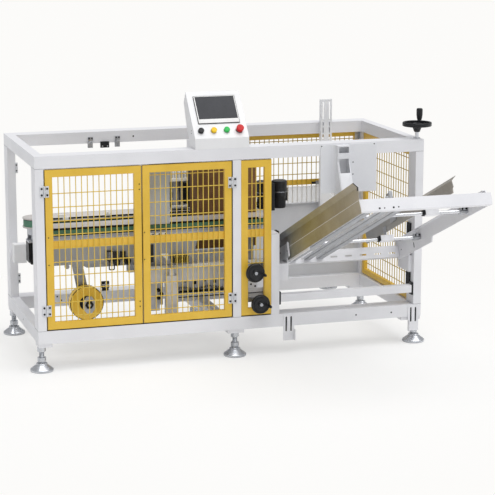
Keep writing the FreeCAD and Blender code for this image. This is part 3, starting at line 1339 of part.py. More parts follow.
def wheel_bearings():
    """Bearing blocks for the small handwheels and the collar under the top one."""
    top = (TOP_WHEEL_X, TOP_WHEEL_Y, FRAME_H)
    collar_top = (TOP_WHEEL_X, TOP_WHEEL_Y, FRAME_H + COLLAR_H)
    collar = drum(COLLAR_R, top, collar_top).cut(rod(TOP_STEM_R + WHEEL_FIT, top, collar_top))
    solids = [collar]
    half = WHEEL_BLOCK / 2
    y1 = CHANNEL_Y
    channel_low = CHANNEL_TOP - CHANNEL_H
    for x, z in WHEEL_XZ:
        z_top = max(z + half, channel_low + 20)
        block = box(x - half, x + half, POST_D + 10, y1, z - half, z_top)
        bore = rod(WHEEL_SHAFT_R + WHEEL_FIT, (x, POST_D + 10, z), (x, y1, z))
        solids.append(block.cut(bore))
    return solids


def wheel_supports():
    """Bearing blocks on the channel, and the bracket from the short post to it."""
    post_bracket = box(SHORT_POST_X, SHORT_POST_X1, POST_D, CHANNEL_Y, CHANNEL_TOP - CHANNEL_H + 10,
                       CHANNEL_TOP - 10)
    return pair(wheel_bearings() + [post_bracket])


NODES = {
    "top_rails": top_rails,
    "bottom_rails": bottom_rails,
    "posts": posts,
    "levelling_feet": levelling_feet,
    "narrow_guard": narrow_guard,
    "back_guard": back_guard,
    "side_guard": side_guard,
    "back_panel": back_panel,
    "back_strip": back_strip,
    "post_hinges": post_hinges,
    "left_door": lambda: door(LEFT_DOOR_X0, LEFT_DOOR_X1),
    "left_door_hinges": lambda: pair(door_hinges(LEFT_HINGE_X, 1, True)),
    "right_door": lambda: door(RIGHT_DOOR_X0, RIGHT_DOOR_X1),
    "right_door_hinges": lambda: pair(door_hinges(RIGHT_HINGE_X, -1, True)),
    "control_housing": control_housing,
    "touch_screen": touch_screen,
    "push_buttons": push_buttons,
    "stop_plate": stop_plate,
    "stop_arm": stop_arm,
    "mast": mast,
    "side_belts": side_belts,
    "belt_frames": belt_frames,
    "belt_beams": belt_beams,
    "belt_gearboxes": belt_gearboxes,
    "belt_motors": belt_motors,
    "junction_box": junction_box,
    "erected_case": erected_case,
    "case_bed": case_bed,
    "supports": lambda: pair(support_channels() + support_columns()),
    "tape_head": tape_head,
    "tape_rollers": tape_rollers,
    "tape_roll": tape_roll,
    "flap_head": flap_head,
    "valve_block": valve_block,
    "suction_motor": suction_motor,
    "hopper_arms": hopper_arms,
    "hopper_beams": hopper_beams,
    "slide_bars": slide_bars,
    "guide_rods": guide_rods,
    "left_guide": left_guide,
    "right_guide": right_guide,
    "hopper_carriages": hopper_carriages,
    "lift_rails": lift_rails,
    "lower_crossbar": lower_crossbar,
    "crossbar_pads": crossbar_pads,
    "slotted_brackets": slotted_brackets,
    "top_handwheel": top_handwheel,
    "upper_handwheel": lambda: small_handwheel(*WHEEL_XZ[0]),
    "lower_handwheel": lambda: small_handwheel(*WHEEL_XZ[1]),
    "wheel_supports": wheel_supports,
}


def main():
    os.makedirs("parts", exist_ok=True)
    shapes = {name: make() for name, make in NODES.items()}
    left = FOOT_INSET_X - FOOT_DISC_R
    right = TOP_WHEEL_X + TOP_WHEEL_R
    a = radians(HOPPER_DEG)
    front = -LEFT_GUIDE_OUT * cos(a) + LEFT_GUIDE_LOW * sin(a)
    back = FRAME_D - FOOT_INSET_Y + FOOT_DISC_R
    shift = V(-(left + right) / 2, -(front + back) / 2, 0)
    print("origin moved by", round(shift.x, 3), round(shift.y, 3))
    for name, shape in shapes.items():
        shape.translate(shift)
        shape.exportStep("parts/" + name + ".step")


main()
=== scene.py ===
"""Case erector: welded tube frame with yellow mesh guards, side belts, tape head and blank hopper.

Lengths are millimetres in the machine's own frame (X along the machine, Y to the back, Z up
from the underside of the tube frame), turned into metres when a piece is made.
"""
import bpy
import bmesh
import numpy as np
from math import cos, pi, radians, sin, tau
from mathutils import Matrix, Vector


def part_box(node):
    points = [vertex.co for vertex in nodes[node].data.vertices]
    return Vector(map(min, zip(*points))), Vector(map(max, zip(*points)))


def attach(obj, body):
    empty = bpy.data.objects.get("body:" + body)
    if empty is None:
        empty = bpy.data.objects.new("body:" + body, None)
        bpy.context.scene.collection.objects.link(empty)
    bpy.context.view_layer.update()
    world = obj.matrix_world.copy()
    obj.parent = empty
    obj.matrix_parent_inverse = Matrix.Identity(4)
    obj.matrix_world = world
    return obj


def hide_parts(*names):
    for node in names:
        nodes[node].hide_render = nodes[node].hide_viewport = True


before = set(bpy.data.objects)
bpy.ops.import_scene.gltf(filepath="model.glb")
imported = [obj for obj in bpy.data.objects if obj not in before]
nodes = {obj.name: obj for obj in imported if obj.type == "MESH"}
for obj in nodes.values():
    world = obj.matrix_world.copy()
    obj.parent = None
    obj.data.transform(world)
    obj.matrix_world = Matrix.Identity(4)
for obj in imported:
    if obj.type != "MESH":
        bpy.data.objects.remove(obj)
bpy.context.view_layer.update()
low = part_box("posts")[0]
CORNER = np.array([low[0], low[1], low[2] - 0.070])
FRONT, LEFT, RIGHT, INWARD = (0, -1, 0), (-1, 0, 0), (1, 0, 0), (0, 1, 0)


# Objects and shader nodes

def placed(name, data):
    """New object in the scene."""
    thing = bpy.data.objects.new(name, data)
    bpy.context.scene.collection.objects.link(thing)
    return thing


def settings(node, **values):
    """Gives a node's sockets their start values; an underscore stands for a space in a name."""
    for key, value in values.items():
        node.inputs[key.replace("_", " ")].default_value = value
    return node


def add(tree, kind, operation=None, **values):
    """New shader node with its operation and the start values of its sockets."""
    node = tree.nodes.new("ShaderNode" + kind)
    if operation:
        node.operation = operation
    return settings(node, **values)


def colour_mix(tree, blend="MIX", **values):
    """Node that mixes the colours A and B."""
    mix = tree.nodes.new("ShaderNodeMix")
    mix.data_type = "RGBA"
    mix.blend_type = blend
    return settings(mix, **values)


def wire(tree, *wires):
    """Joins sockets, each wire given as (node, output, node, input)."""
    for start, output, end, socket in wires:
        tree.links.new(start.outputs[output], end.inputs[socket])


# Camera, lamps and floor

BACKDROP = (0.974, 0.966, 0.95, 1.0)


def set_camera():
    """Camera at the photograph's viewing angle."""
    data = bpy.data.cameras.new("front_camera")
    data.lens = 129.66
    data.sensor_width = 36.0
    camera = placed("front_camera", data)
    camera.location = (-2.7476, -8.94483, 2.5527)
    camera.rotation_euler = (pi / 2 - 0.2032, 0.0, -0.3019)
    bpy.context.scene.camera = camera


def set_lamps():
    """One broad soft lamp high above the front, and an even pale sky."""
    data = bpy.data.lights.new("soft_key", "SUN")
    data.energy = 2.5
    data.angle = radians(60)
    placed("soft_key", data).rotation_euler = (radians(16), radians(9), 0.0)
    world = bpy.data.worlds.new("pale_sky")
    bpy.context.scene.world = world
    world.use_nodes = True
    tree = world.node_tree
    tree.nodes.clear()
    out = add(tree, "OutputWorld")
    mix = add(tree, "MixShader")
    lit = add(tree, "Background", Color=(0.97, 0.98, 1.0, 1.0), Strength=0.42)
    seen = add(tree, "Background", Color=BACKDROP, Strength=1.0)
    path = add(tree, "LightPath")
    both = add(tree, "Math", "MAXIMUM")
    wire(tree, (path, "Is Camera Ray", both, 0), (path, "Is Transmission Ray", both, 1), (both, 0, mix, 0),
         (lit, 0, mix, 1), (seen, 0, mix, 2), (mix, 0, out, "Surface"))


def set_floor():
    """Pale floor disc: matt white near the machine, fading into the white backdrop further out."""
    sides, radius = 96, np.array([0.02, 2.0, 6.0, 24.0, 70.0])
    turn = np.linspace(0, tau, sides, endpoint=False)
    ring = np.stack([np.cos(turn), np.sin(turn), np.zeros_like(turn)], -1)
    points = (radius[:, None, None] * ring).reshape(-1, 3)
    mesh = bpy.data.meshes.new("floor")
    faces = grid(len(radius), sides).tolist() + [list(range(sides))]
    mesh.from_pydata(points.tolist(), [], faces)
    material = bpy.data.materials.new("pale_floor")
    material.use_nodes = True
    tree = material.node_tree
    tree.nodes.clear()
    out = add(tree, "OutputMaterial")
    matt = add(tree, "BsdfDiffuse", Color=(0.86, 0.86, 0.855, 1.0))
    glow = add(tree, "Emission", Color=BACKDROP)
    mix = add(tree, "MixShader")
    place = add(tree, "TexCoord")
    reach = add(tree, "VectorMath", "LENGTH")
    fade = add(tree, "MapRange", From_Min=1.0, From_Max=2.6, To_Min=0.5)
    path = add(tree, "LightPath")
    seen = add(tree, "Math", "MULTIPLY")
    wire(tree, (place, "Object", reach, 0), (reach, "Value", fade, "Value"), (fade, "Result", seen, 0),
         (path, "Is Camera Ray", seen, 1), (seen, 0, mix, 0), (matt, 0, mix, 1), (glow, 0, mix, 2),
         (mix, 0, out, "Surface"))
    mesh.materials.append(material)
    placed("floor", mesh)


# Surfaces worked out with numpy

def grid(rows, cols, close=False):
    """Quads of a rows x cols grid of points; the columns join round, close joins the rows too."""
    r, c = np.meshgrid(np.arange(rows if close else rows - 1), np.arange(cols), indexing="ij")
    r1, c1 = (r + 1) % rows, (c + 1) % cols
    return np.stack([r * cols + c, r * cols + c1, r1 * cols + c1, r1 * cols + c], -1).reshape(-1, 4)


def capped(points):
    """Closed tube from an array (rings, around, 3): the side quads and a flat face at each end."""
    rings, around = points.shape[:2]
    quads = grid(rings, around)
    caps = [np.arange(around)[::-1], np.arange(around) + (rings - 1) * around]
    return points.reshape(-1, 3), quads, caps


def joined(*shapes):
    """One shape from several, with the point numbers of each shifted by those before it."""
    counts = np.cumsum([0] + [len(s[0]) for s in shapes])
    return (np.concatenate([s[0] for s in shapes]),
            np.concatenate([s[1].reshape(-1, 4) + n for s, n in zip(shapes, counts)]),
            [cap + n for s, n in zip(shapes, counts) for cap in s[2]])


def basis(axis):
    """Three unit columns (u, v, axis) with u and v square to the axis."""
    w = np.asarray(axis, float) / np.linalg.norm(axis)
    helper = np.array([0.0, 0.0, 1.0]) if abs(w[2]) < 0.9 else np.array([1.0, 0.0, 0.0])
    u = np.cross(helper, w)
    u /= np.linalg.norm(u)
    return np.stack([u, np.cross(w, u), w], -1)


def set_at(shape, base, axis):
    """The shape turned so that its Z points along the axis, then moved to the base."""
    return shape[0] @ basis(axis).T + np.asarray(base, float), shape[1], shape[2]


def copies(shape, places, axis=(0, 0, 1)):
    """The shape at each of many places, with its Z turned along the axis."""
    places = np.asarray(places, float).reshape(-1, 3)
    turned = shape[0] @ basis(axis).T
    n, m = len(turned), len(places)
    points = (places[:, None, :] + turned[None]).reshape(-1, 3)
    shift = np.arange(m) * n
    quads = (shift[:, None, None] + shape[1][None]).reshape(-1, 4)
    return points, quads, [cap + s for s in shift for cap in shape[2]]


def lathe(profile, sides, base=(0, 0, 0), axis=(0, 0, 1)):
    """Turned piece: point(i, a) = (r_i cos a, r_i sin a, h_i) for profile pairs (r, h)."""
    r, h = np.asarray(profile, float).T
    a = np.arange(sides) * tau / sides
    points = np.stack([r[:, None] * np.cos(a), r[:, None] * np.sin(a),
                       np.broadcast_to(h[:, None], (len(r), sides))], -1)
    return set_at(capped(points), base, axis)


def rounded(width, depth, radius, steps, inset=0.0):
    """Rounded rectangle about the origin: corner centre + (radius - inset)(cos a, sin a)."""
    a = (np.arange(4)[:, None] * pi / 2 + np.linspace(0, pi / 2, steps)[None]).ravel()
    sx = np.repeat([1, -1, -1, 1], steps)
    sy = np.repeat([1, 1, -1, -1], steps)
    return np.stack([sx * (width / 2 - radius) + (radius - inset) * np.cos(a),
                     sy * (depth / 2 - radius) + (radius - inset) * np.sin(a)], -1)


def block(lo, hi, r, steps=3):
    """Bar with rounded edges: a rounded rectangle carried along the longest side, drawn in by
    r(1 - sin t) at both ends."""
    lo, hi = np.minimum(lo, hi).astype(float), np.maximum(lo, hi).astype(float)
    size = hi - lo
    w = int(np.argmax(size))
    u, v = [(1, 2), (2, 0), (0, 1)][w]
    r = min(r, 0.45 * size.min())
    t = np.linspace(pi / 9, pi / 2, steps)
    inset = np.concatenate([r * (1 - np.sin(t)), r * (1 - np.sin(t[::-1]))])
    along = np.concatenate([lo[w] + r * (1 - np.cos(t)), hi[w] - r * (1 - np.cos(t[::-1]))])
    ring = np.stack([rounded(size[u], size[v], r, steps, d) for d in inset])
    points = np.empty(ring.shape[:2] + (3,))
    points[..., u] = ring[..., 0] + (lo[u] + hi[u]) / 2
    points[..., v] = ring[..., 1] + (lo[v] + hi[v]) / 2
    points[..., w] = along[:, None]
    return capped(points)


def tubes(starts, ends, radius, sides=8):
    """Straight round wires: start + s (end - start) + radius (u cos a + v sin a)."""
    starts, ends = np.asarray(starts, float), np.asarray(ends, float)
    frame3 = basis(ends[0] - starts[0])
    a = np.arange(sides) * tau / sides
    ring = radius * (np.cos(a)[:, None] * frame3[:, 0] + np.sin(a)[:, None] * frame3[:, 1])
    points = np.stack([starts, ends], 1)[:, :, None, :] + ring
    n = len(starts)
    shift = np.arange(n) * 2 * sides
    quads = (shift[:, None, None] + grid(2, sides)[None]).reshape(-1, 4)
    ends = [np.arange(sides)[::-1], np.arange(sides) + sides]
    return points.reshape(-1, 3), quads, [end + s for end in ends for s in shift]


def pipe(path, radius, sides, up):
    """Round bar along a bent line: path + radius (n cos a + b sin a), n square to the line and up."""
    path = np.asarray(path, float)
    t = np.gradient(path, axis=0)
    t /= np.linalg.norm(t, axis=1)[:, None]
    n = np.cross(np.asarray(up, float), t)
    n /= np.linalg.norm(n, axis=1)[:, None]
    b = np.cross(t, n)
    a = np.arange(sides) * tau / sides
    radius = np.broadcast_to(radius, len(path))[:, None, None]
    ring = np.cos(a)[:, None] * n[:, None] + np.sin(a)[:, None] * b[:, None]
    return capped(path[:, None] + radius * ring)


def prism(outline, start, end, axis):
    """Flat outline carried along one axis; the outline gives the other two coordinates in order."""
    outline = np.asarray(outline, float)
    others = [k for k in range(3) if k != axis]
    points = np.empty((2, len(outline), 3))
    points[..., others[0]] = outline[:, 0]
    points[..., others[1]] = outline[:, 1]
    points[..., axis] = np.array([start, end])[:, None]
    return capped(points)


def race(radius, ends, y_mid, steps):
    """Outline round two drum axes: centre + radius (cos a, sin a), half a turn at each."""
    a = np.linspace(-pi / 2, pi / 2, steps)
    right = np.stack([ends[1] + radius * np.cos(a), y_mid + radius * np.sin(a)], -1)
    left = np.stack([ends[0] - radius * np.cos(a), y_mid - radius * np.sin(a)], -1)
    return np.concatenate([right, left])


def loop_band(radius, thick, z0, z1, ends, y_mid):
    """Belt: for each point of the outline, a rounded cross-section pushed out along the outline."""
    inner = race(radius - thick, ends, y_mid, 28)
    outer = race(radius, ends, y_mid, 28)
    cut = rounded(1.0, 1.0, 0.22, 3)
    share = cut[:, 0] + 0.5
    height = z0 + (z1 - z0) * (cut[:, 1] + 0.5)
    xy = inner[:, None] + share[None, :, None] * (outer - inner)[:, None]
    points = np.concatenate([xy, np.broadcast_to(height, xy.shape[:2])[..., None]], -1)
    rows, cols = points.shape[:2]
    return points.reshape(-1, 3), grid(rows, cols, close=True), []


def mitred_ring(width, height, bar, depth, r):
    """Tube frame with mitred corners: corner + u (inwards) + v (depth) for a rounded section (u, v)."""
    cut = rounded(bar, depth, r, 3) + [bar / 2, depth / 2]
    corner = np.array([[0, 0], [width, 0], [width, height], [0, height]], float)
    inward = np.array([[1, 1], [-1, 1], [-1, -1], [1, -1]], float)
    points = np.empty((4, len(cut), 3))
    points[..., 0] = corner[:, None, 0] + inward[:, None, 0] * cut[None, :, 0]
    points[..., 1] = cut[None, :, 1]
    points[..., 2] = corner[:, None, 1] + inward[:, None, 1] * cut[None, :, 0]
    return points.reshape(-1, 3), grid(4, len(cut), close=True), []


SHARP_ANGLE = 38


def break_edges(piece, width, angle, harden=False):
    """Rounds edges by a width in millimetres where faces turn by more than an angle in degrees."""
    edge = piece.modifiers.new("broken_edges", "BEVEL")
    edge.width = width * 0.001
    edge.segments = 2
    edge.limit_method = "ANGLE"
    edge.angle_limit = radians(angle)
    edge.harden_normals = harden


def make(name, shape, finish, body="machine_frame", slot=None, stands_for=(), bevel=0.0):
    """Makes one piece of a shape, or of a list of shapes, in metres, with its finish and body."""
    if isinstance(shape, list):
        shape = joined(*shape)
    points = CORNER + shape[0] * 0.001
    faces = shape[1].tolist() + [cap.tolist() for cap in shape[2]]
    mesh = bpy.data.meshes.new(name)
    mesh.from_pydata(points.tolist(), [], faces)
    work = bmesh.new()
    work.from_mesh(mesh)
    bmesh.ops.remove_doubles(work, verts=work.verts, dist=1e-6)
    bmesh.ops.recalc_face_normals(work, faces=work.faces)
    work.to_mesh(mesh)
    work.free()
    mesh.shade_smooth()
    mesh.set_sharp_from_angle(angle=radians(SHARP_ANGLE))
    piece = placed(name, mesh)
    if bevel:
        break_edges(piece, bevel, 40)
    piece.modifiers.new("even_shade", "WEIGHTED_NORMAL").keep_sharp = True
    mesh.materials.append(finish)
    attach(piece, body)
    if stands_for:
        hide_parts(*stands_for)


PANEL_SLOPE, PANEL_X, PANEL_Z = radians(50), 862, 1056
HOPPER_SLOPE, HOPPER_Z = radians(-22.5), 391


def on_slope(points):
    """Control panel coordinates (across, up the slope, out of it) to the machine's frame."""
    x, d, n = np.asarray(points, float).T
    a = PANEL_SLOPE
    return np.stack([PANEL_X + x, d * cos(a) - n * sin(a), PANEL_Z + d * sin(a) + n * cos(a)], -1)


def on_hopper(points):
    """Hopper coordinates, drawn level, to the machine's frame: turned and lifted."""
    x, y, z = np.asarray(points, float).T
    a = HOPPER_SLOPE
    return np.stack([x, y * cos(a) - z * sin(a), HOPPER_Z + y * sin(a) + z * cos(a)], -1)


def panel_part(name, shape, finish, **more):
    """Piece drawn flat, set on the control panel's slope."""
    make(name, (on_slope(shape[0]), shape[1], shape[2]), finish, **more)


def hopper_part(name, shapes, finish, body="hopper", **more):
    """Piece drawn level from a list of shapes, set on the hopper's slope."""
    points, quads, caps = joined(*shapes)
    make(name, (on_hopper(points), quads, caps), finish, body, **more)


def screws_at(places, axis):
    return copies(SMALL_SCREW, places, axis)


def dots(radius, places, axis):
    """Dark hole mouths: shallow turned buttons, one at each place, facing along the axis."""
    button = lathe([(radius, -0.4), (radius, 0.2), (radius - 0.8, 0.5), (radius * 0.3, 0.35)], 20)
    return copies(button, places, axis)


def shift(shape, x, y, z):
    return shape[0] + np.array([x, y, z], float), shape[1], shape[2]


# Shared shader effects

def colour(code):
    """Linear colour from a hexadecimal screen colour."""
    value = np.array([int(code[i:i + 2], 16) for i in (0, 2, 4)]) / 255
    linear = np.where(value <= 0.04045, value / 12.92, ((value + 0.055) / 1.055) ** 2.4)
    return (*linear.tolist(), 1.0)


def new_group(name, inputs, outputs):
    """Empty shader group with named inputs (name, kind, start value) and outputs (name, kind)."""
    group = bpy.data.node_groups.new(name, "ShaderNodeTree")
    for label, kind, start in inputs:
        socket = group.interface.new_socket(label, in_out="INPUT", socket_type="NodeSocket" + kind)
        socket.default_value = start
    for label, kind in outputs:
        group.interface.new_socket(label, in_out="OUTPUT", socket_type="NodeSocket" + kind)
    return group, group.nodes.new("NodeGroupInput"), group.nodes.new("NodeGroupOutput")


def paint_grain_group():
    """Slow colour drift, roughness drift and fine orange-peel grain from three sizes of noise."""
    group, given, out = new_group("paint_grain", [
        ("Colour", "Color", (0.8, 0.8, 0.8, 1)), ("Drift", "Color", (0.7, 0.7, 0.7, 1)),
        ("Drift Scale", "Float", 5.0), ("Grain Scale", "Float", 900.0),
        ("Rough Low", "Float", 0.4), ("Rough High", "Float", 0.5), ("Grain Depth", "Float", 1.0)],
        [("Colour", "Color"), ("Roughness", "Float"), ("Height", "Float")])
    place = add(group, "TexCoord")
    drift = add(group, "TexNoise", Detail=4.0, Roughness=0.6)
    grain = add(group, "TexNoise", Detail=3.0, Roughness=0.55)
    speck = add(group, "TexNoise", Detail=1.0, Roughness=0.5)
    coarser = add(group, "Math", "MULTIPLY")
    coarser.inputs[1].default_value = 0.27
    spread = add(group, "MapRange", From_Min=0.35, From_Max=0.65)
    fleck = add(group, "MapRange", From_Min=0.3, From_Max=0.75, To_Min=-0.25, To_Max=0.25)
    total = add(group, "Math", "ADD")
    total.use_clamp = True
    mix = colour_mix(group)
    rough = add(group, "MapRange")
    height = add(group, "Math", "MULTIPLY")
    wire(group, (place, "Object", drift, "Vector"), (place, "Object", grain, "Vector"),
         (place, "Object", speck, "Vector"), (given, "Drift Scale", drift, "Scale"),
         (given, "Grain Scale", grain, "Scale"), (given, "Grain Scale", coarser, 0),
         (coarser, 0, speck, "Scale"), (drift, "Fac", spread, "Value"), (speck, "Fac", fleck, "Value"),
         (spread, "Result", total, 0), (fleck, "Result", total, 1), (total, 0, mix, "Factor"),
         (given, "Colour", mix, "A"), (given, "Drift", mix, "B"), (total, 0, rough, "Value"),
         (given, "Rough Low", rough, "To Min"), (given, "Rough High", rough, "To Max"),
         (grain, "Fac", height, 0), (given, "Grain Depth", height, 1), (mix, "Result", out, "Colour"),
         (rough, "Result", out, "Roughness"), (height, 0, out, "Height"))
    return group


def edge_wear_group():
    """Mask along sharp edges: how far a rounded normal turns from the face's, broken up by noise."""
    group, given, out = new_group("edge_wear", [("Width", "Float", 0.003), ("Amount", "Float", 0.5)],
                                  [("Mask", "Float")])
    place = add(group, "TexCoord")
    bevel = add(group, "Bevel")
    bevel.samples = 3
    face = add(group, "NewGeometry")
    dot = add(group, "VectorMath", "DOT_PRODUCT")
    edge = add(group, "MapRange", From_Min=0.995, From_Max=0.86)
    noise = add(group, "TexNoise", Scale=120.0, Detail=4.0, Roughness=0.7)
    broken = add(group, "MapRange", From_Min=0.42, From_Max=0.62)
    both = add(group, "Math", "MULTIPLY")
    final = add(group, "Math", "MULTIPLY")
    final.use_clamp = True
    wire(group, (given, "Width", bevel, "Radius"), (bevel, "Normal", dot, 0), (face, "True Normal", dot, 1),
         (dot, "Value", edge, "Value"), (place, "Object", noise, "Vector"), (noise, "Fac", broken, "Value"),
         (edge, "Result", both, 0), (broken, "Result", both, 1), (both, 0, final, 0),
         (given, "Amount", final, 1), (final, 0, out, "Mask"))
    return group


def brushed_group():
    """Fine lines along one direction: noise on coordinates that are stretched by the Stretch vector."""
    group, given, out = new_group("brushed_lines", [
        ("Stretch", "Vector", (8.0, 900.0, 900.0)), ("Colour", "Color", (0.6, 0.6, 0.6, 1)),
        ("Dark", "Color", (0.4, 0.4, 0.4, 1)), ("Rough Low", "Float", 0.3), ("Rough High", "Float", 0.5)],
        [("Colour", "Color"), ("Roughness", "Float"), ("Height", "Float")])
    place = add(group, "TexCoord")
    stretch = add(group, "VectorMath", "MULTIPLY")
    line = add(group, "TexNoise", Scale=1.0, Detail=3.0, Roughness=0.6)
    cloud = add(group, "TexNoise", Scale=14.0, Detail=3.0, Roughness=0.6)
    blend = add(group, "Math", "MULTIPLY_ADD")
    blend.inputs[1].default_value = 0.6
    level = add(group, "MapRange", From_Min=0.6, From_Max=1.0)
    mix = colour_mix(group)
    rough = add(group, "MapRange")
    wire(group, (place, "Object", stretch, 0), (given, "Stretch", stretch, 1),
         (stretch, "Vector", line, "Vector"), (place, "Object", cloud, "Vector"), (line, "Fac", blend, 0),
         (cloud, "Fac", blend, 2), (blend, 0, level, "Value"), (level, "Result", mix, "Factor"),
         (given, "Colour", mix, "A"), (given, "Dark", mix, "B"), (level, "Result", rough, "Value"),
         (given, "Rough Low", rough, "To Min"), (given, "Rough High", rough, "To Max"),
         (mix, "Result", out, "Colour"), (rough, "Result", out, "Roughness"), (line, "Fac", out, "Height"))
    return group


PAINT = paint_grain_group()
WEAR = edge_wear_group()
BRUSHED = brushed_group()


def start_finish(name, slot):
    material = bpy.data.materials.new(name)
    material.use_nodes = True
    material["slot"] = slot
    return material, material.node_tree, material.node_tree.nodes["Principled BSDF"]


def place_group(tree, group, **values):
    node = tree.nodes.new("ShaderNodeGroup")
    node.node_tree = group
    return settings(node, **values)


def bump(tree, node, output, shader, strength, distance=0.0004):
    relief = add(tree, "Bump", Strength=strength, Distance=distance)
    wire(tree, (node, output, relief, "Height"), (relief, "Normal", shader, "Normal"))


def painted(name, slot, base, drift, rough, grain, depth, scale, metal=0.0, coat=0.0, wear=None,
            specular=0.5):
    """Coated or moulded finish: paint_grain for colour, roughness and grain, worn along its edges."""
    material, tree, shader = start_finish(name, slot)
    paint = place_group(tree, PAINT, Colour=colour(base), Drift=colour(drift), Drift_Scale=scale,
                        Grain_Scale=grain, Rough_Low=rough[0], Rough_High=rough[1], Grain_Depth=1.0)
    if wear:
        edge = place_group(tree, WEAR, Width=wear[1], Amount=wear[2])
        mix = colour_mix(tree, B=colour(wear[0]))
        wire(tree, (edge, "Mask", mix, "Factor"), (paint, "Colour", mix, "A"),
             (mix, "Result", shader, "Base Color"))
    else:
        wire(tree, (paint, "Colour", shader, "Base Color"))
    wire(tree, (paint, "Roughness", shader, "Roughness"))
    settings(shader, Metallic=metal, Coat_Weight=coat, Coat_Roughness=0.15, Specular_IOR_Level=specular)
    bump(tree, paint, "Height", shader, depth)
    return material


def machined(name, slot, base, dark, rough, stretch, depth, metal):
    """Bare metal with brushed lines along one direction."""
    material, tree, shader = start_finish(name, slot)
    lines = place_group(tree, BRUSHED, Stretch=stretch, Colour=colour(base), Dark=colour(dark),
                        Rough_Low=rough[0], Rough_High=rough[1])
    wire(tree, (lines, "Colour", shader, "Base Color"), (lines, "Roughness", shader, "Roughness"))
    settings(shader, Metallic=metal)
    bump(tree, lines, "Height", shader, depth, 0.0002)
    return material


def board_finish():
    """Corrugated board: brown paper with fibres, and faint upright flutes."""
    material, tree, shader = start_finish("corrugated_board", "case_board")
    paper = place_group(tree, PAINT, Colour=colour("84603C"), Drift=colour("704F30"), Drift_Scale=9.0,
                        Grain_Scale=420.0, Rough_Low=0.75, Rough_High=0.88, Grain_Depth=1.0)
    fibre = place_group(tree, BRUSHED, Stretch=(60.0, 60.0, 900.0), Colour=colour("8C6742"),
                        Dark=colour("664729"), Rough_Low=0.7, Rough_High=0.9)
    mix = colour_mix(tree, Factor=0.4)
    place = add(tree, "TexCoord")
    flute = add(tree, "TexWave", Scale=24.0, Distortion=0.6, Detail=1.0)
    flute.wave_type = "BANDS"
    flute.bands_direction = "X"
    shade = add(tree, "MapRange", To_Min=0.93, To_Max=1.0)
    tone = add(tree, "VectorMath", "SCALE")
    wire(tree, (paper, "Colour", mix, "A"), (fibre, "Colour", mix, "B"), (place, "Object", flute, "Vector"),
         (flute, "Fac", shade, "Value"), (mix, "Result", tone, 0), (shade, "Result", tone, "Scale"),
         (tone, "Vector", shader, "Base Color"), (paper, "Roughness", shader, "Roughness"))
    bump(tree, flute, "Fac", shader, 0.15, 0.0006)
    return material


def guide_finish(name, tones):
    """Satin sheet whose tone changes along the slope, from its outer end to the machine, under fine grain; on
    the left guide the change is painted reflection.
    """
    material, tree, shader = start_finish(name, "guide_beige")
    grain = place_group(tree, PAINT, Colour=colour("FFFFFF"), Drift=colour("EDEBE6"), Drift_Scale=6.0,
                        Grain_Scale=700.0, Rough_Low=0.34, Rough_High=0.46)
    place = add(tree, "TexCoord")
    parts = add(tree, "SeparateXYZ")
    share = add(tree, "MapRange", From_Min=CORNER[1] - 1.04, From_Max=CORNER[1] + 0.19)
    ramp = add(tree, "ValToRGB")
    for _ in range(len(tones) - 2):
        ramp.color_ramp.elements.new(0.5)
    for element, (spot, tone) in zip(ramp.color_ramp.elements, tones):
        element.position = spot
        element.color = colour(tone)
    mix = colour_mix(tree, "MULTIPLY", Factor=1.0)
    wire(tree, (place, "Object", parts, 0), (parts, "Y", share, "Value"), (share, "Result", ramp, "Fac"),
         (ramp, "Color", mix, "A"), (grain, "Colour", mix, "B"), (mix, "Result", shader, "Base Color"),
         (grain, "Roughness", shader, "Roughness"))
    bump(tree, grain, "Height", shader, 0.2)
    return material


ROLL = (338.0, 375.0, 122.0)


def tape_finish():
    """Amber film wound on a roll: fine rings about the roll's axis on the side faces, and a faint painted
    glow in the film's colour that stands in for light through the tape.
    """
    material, tree, shader = start_finish("amber_tape", "tape_amber")
    place = add(tree, "TexCoord")
    hub = CORNER + np.array([ROLL[0], 0.0, ROLL[2]]) * 0.001
    centre = add(tree, "Mapping", Location=(-hub[0], 0.0, -hub[2]))
    flat = add(tree, "VectorMath", "MULTIPLY")
    flat.inputs[1].default_value = (1.0, 0.0, 1.0)
    reach = add(tree, "VectorMath", "LENGTH")
    scaled = add(tree, "Math", "MULTIPLY")
    scaled.inputs[1].default_value = 520.0
    ring = add(tree, "TexNoise", Scale=1.0, Detail=4.0, Roughness=0.75)
    ring.noise_dimensions = "1D"
    ramp = add(tree, "MapRange", From_Min=0.3, From_Max=0.7)
    mix = colour_mix(tree, A=colour("F6CC4A"), B=colour("E9B83A"))
    rough = add(tree, "MapRange", To_Min=0.25, To_Max=0.42)
    # The film's colour also goes to Emission at strength 0.2: a painted glow, as though light came through
    # the tape.
    wire(tree, (place, "Object", centre, "Vector"), (centre, "Vector", flat, 0), (flat, "Vector", reach, 0),
         (reach, "Value", scaled, 0), (scaled, 0, ring, "W"), (ring, "Fac", ramp, "Value"),
         (ramp, "Result", mix, "Factor"), (mix, "Result", shader, "Base Color"),
         (ring, "Fac", rough, "Value"), (rough, "Result", shader, "Roughness"),
         (mix, "Result", shader, "Emission Color"))
    settings(shader, Alpha=0.9, Emission_Strength=0.2, Coat_Weight=0.2)
    bump(tree, ring, "Fac", shader, 0.2, 0.0003)
    return material


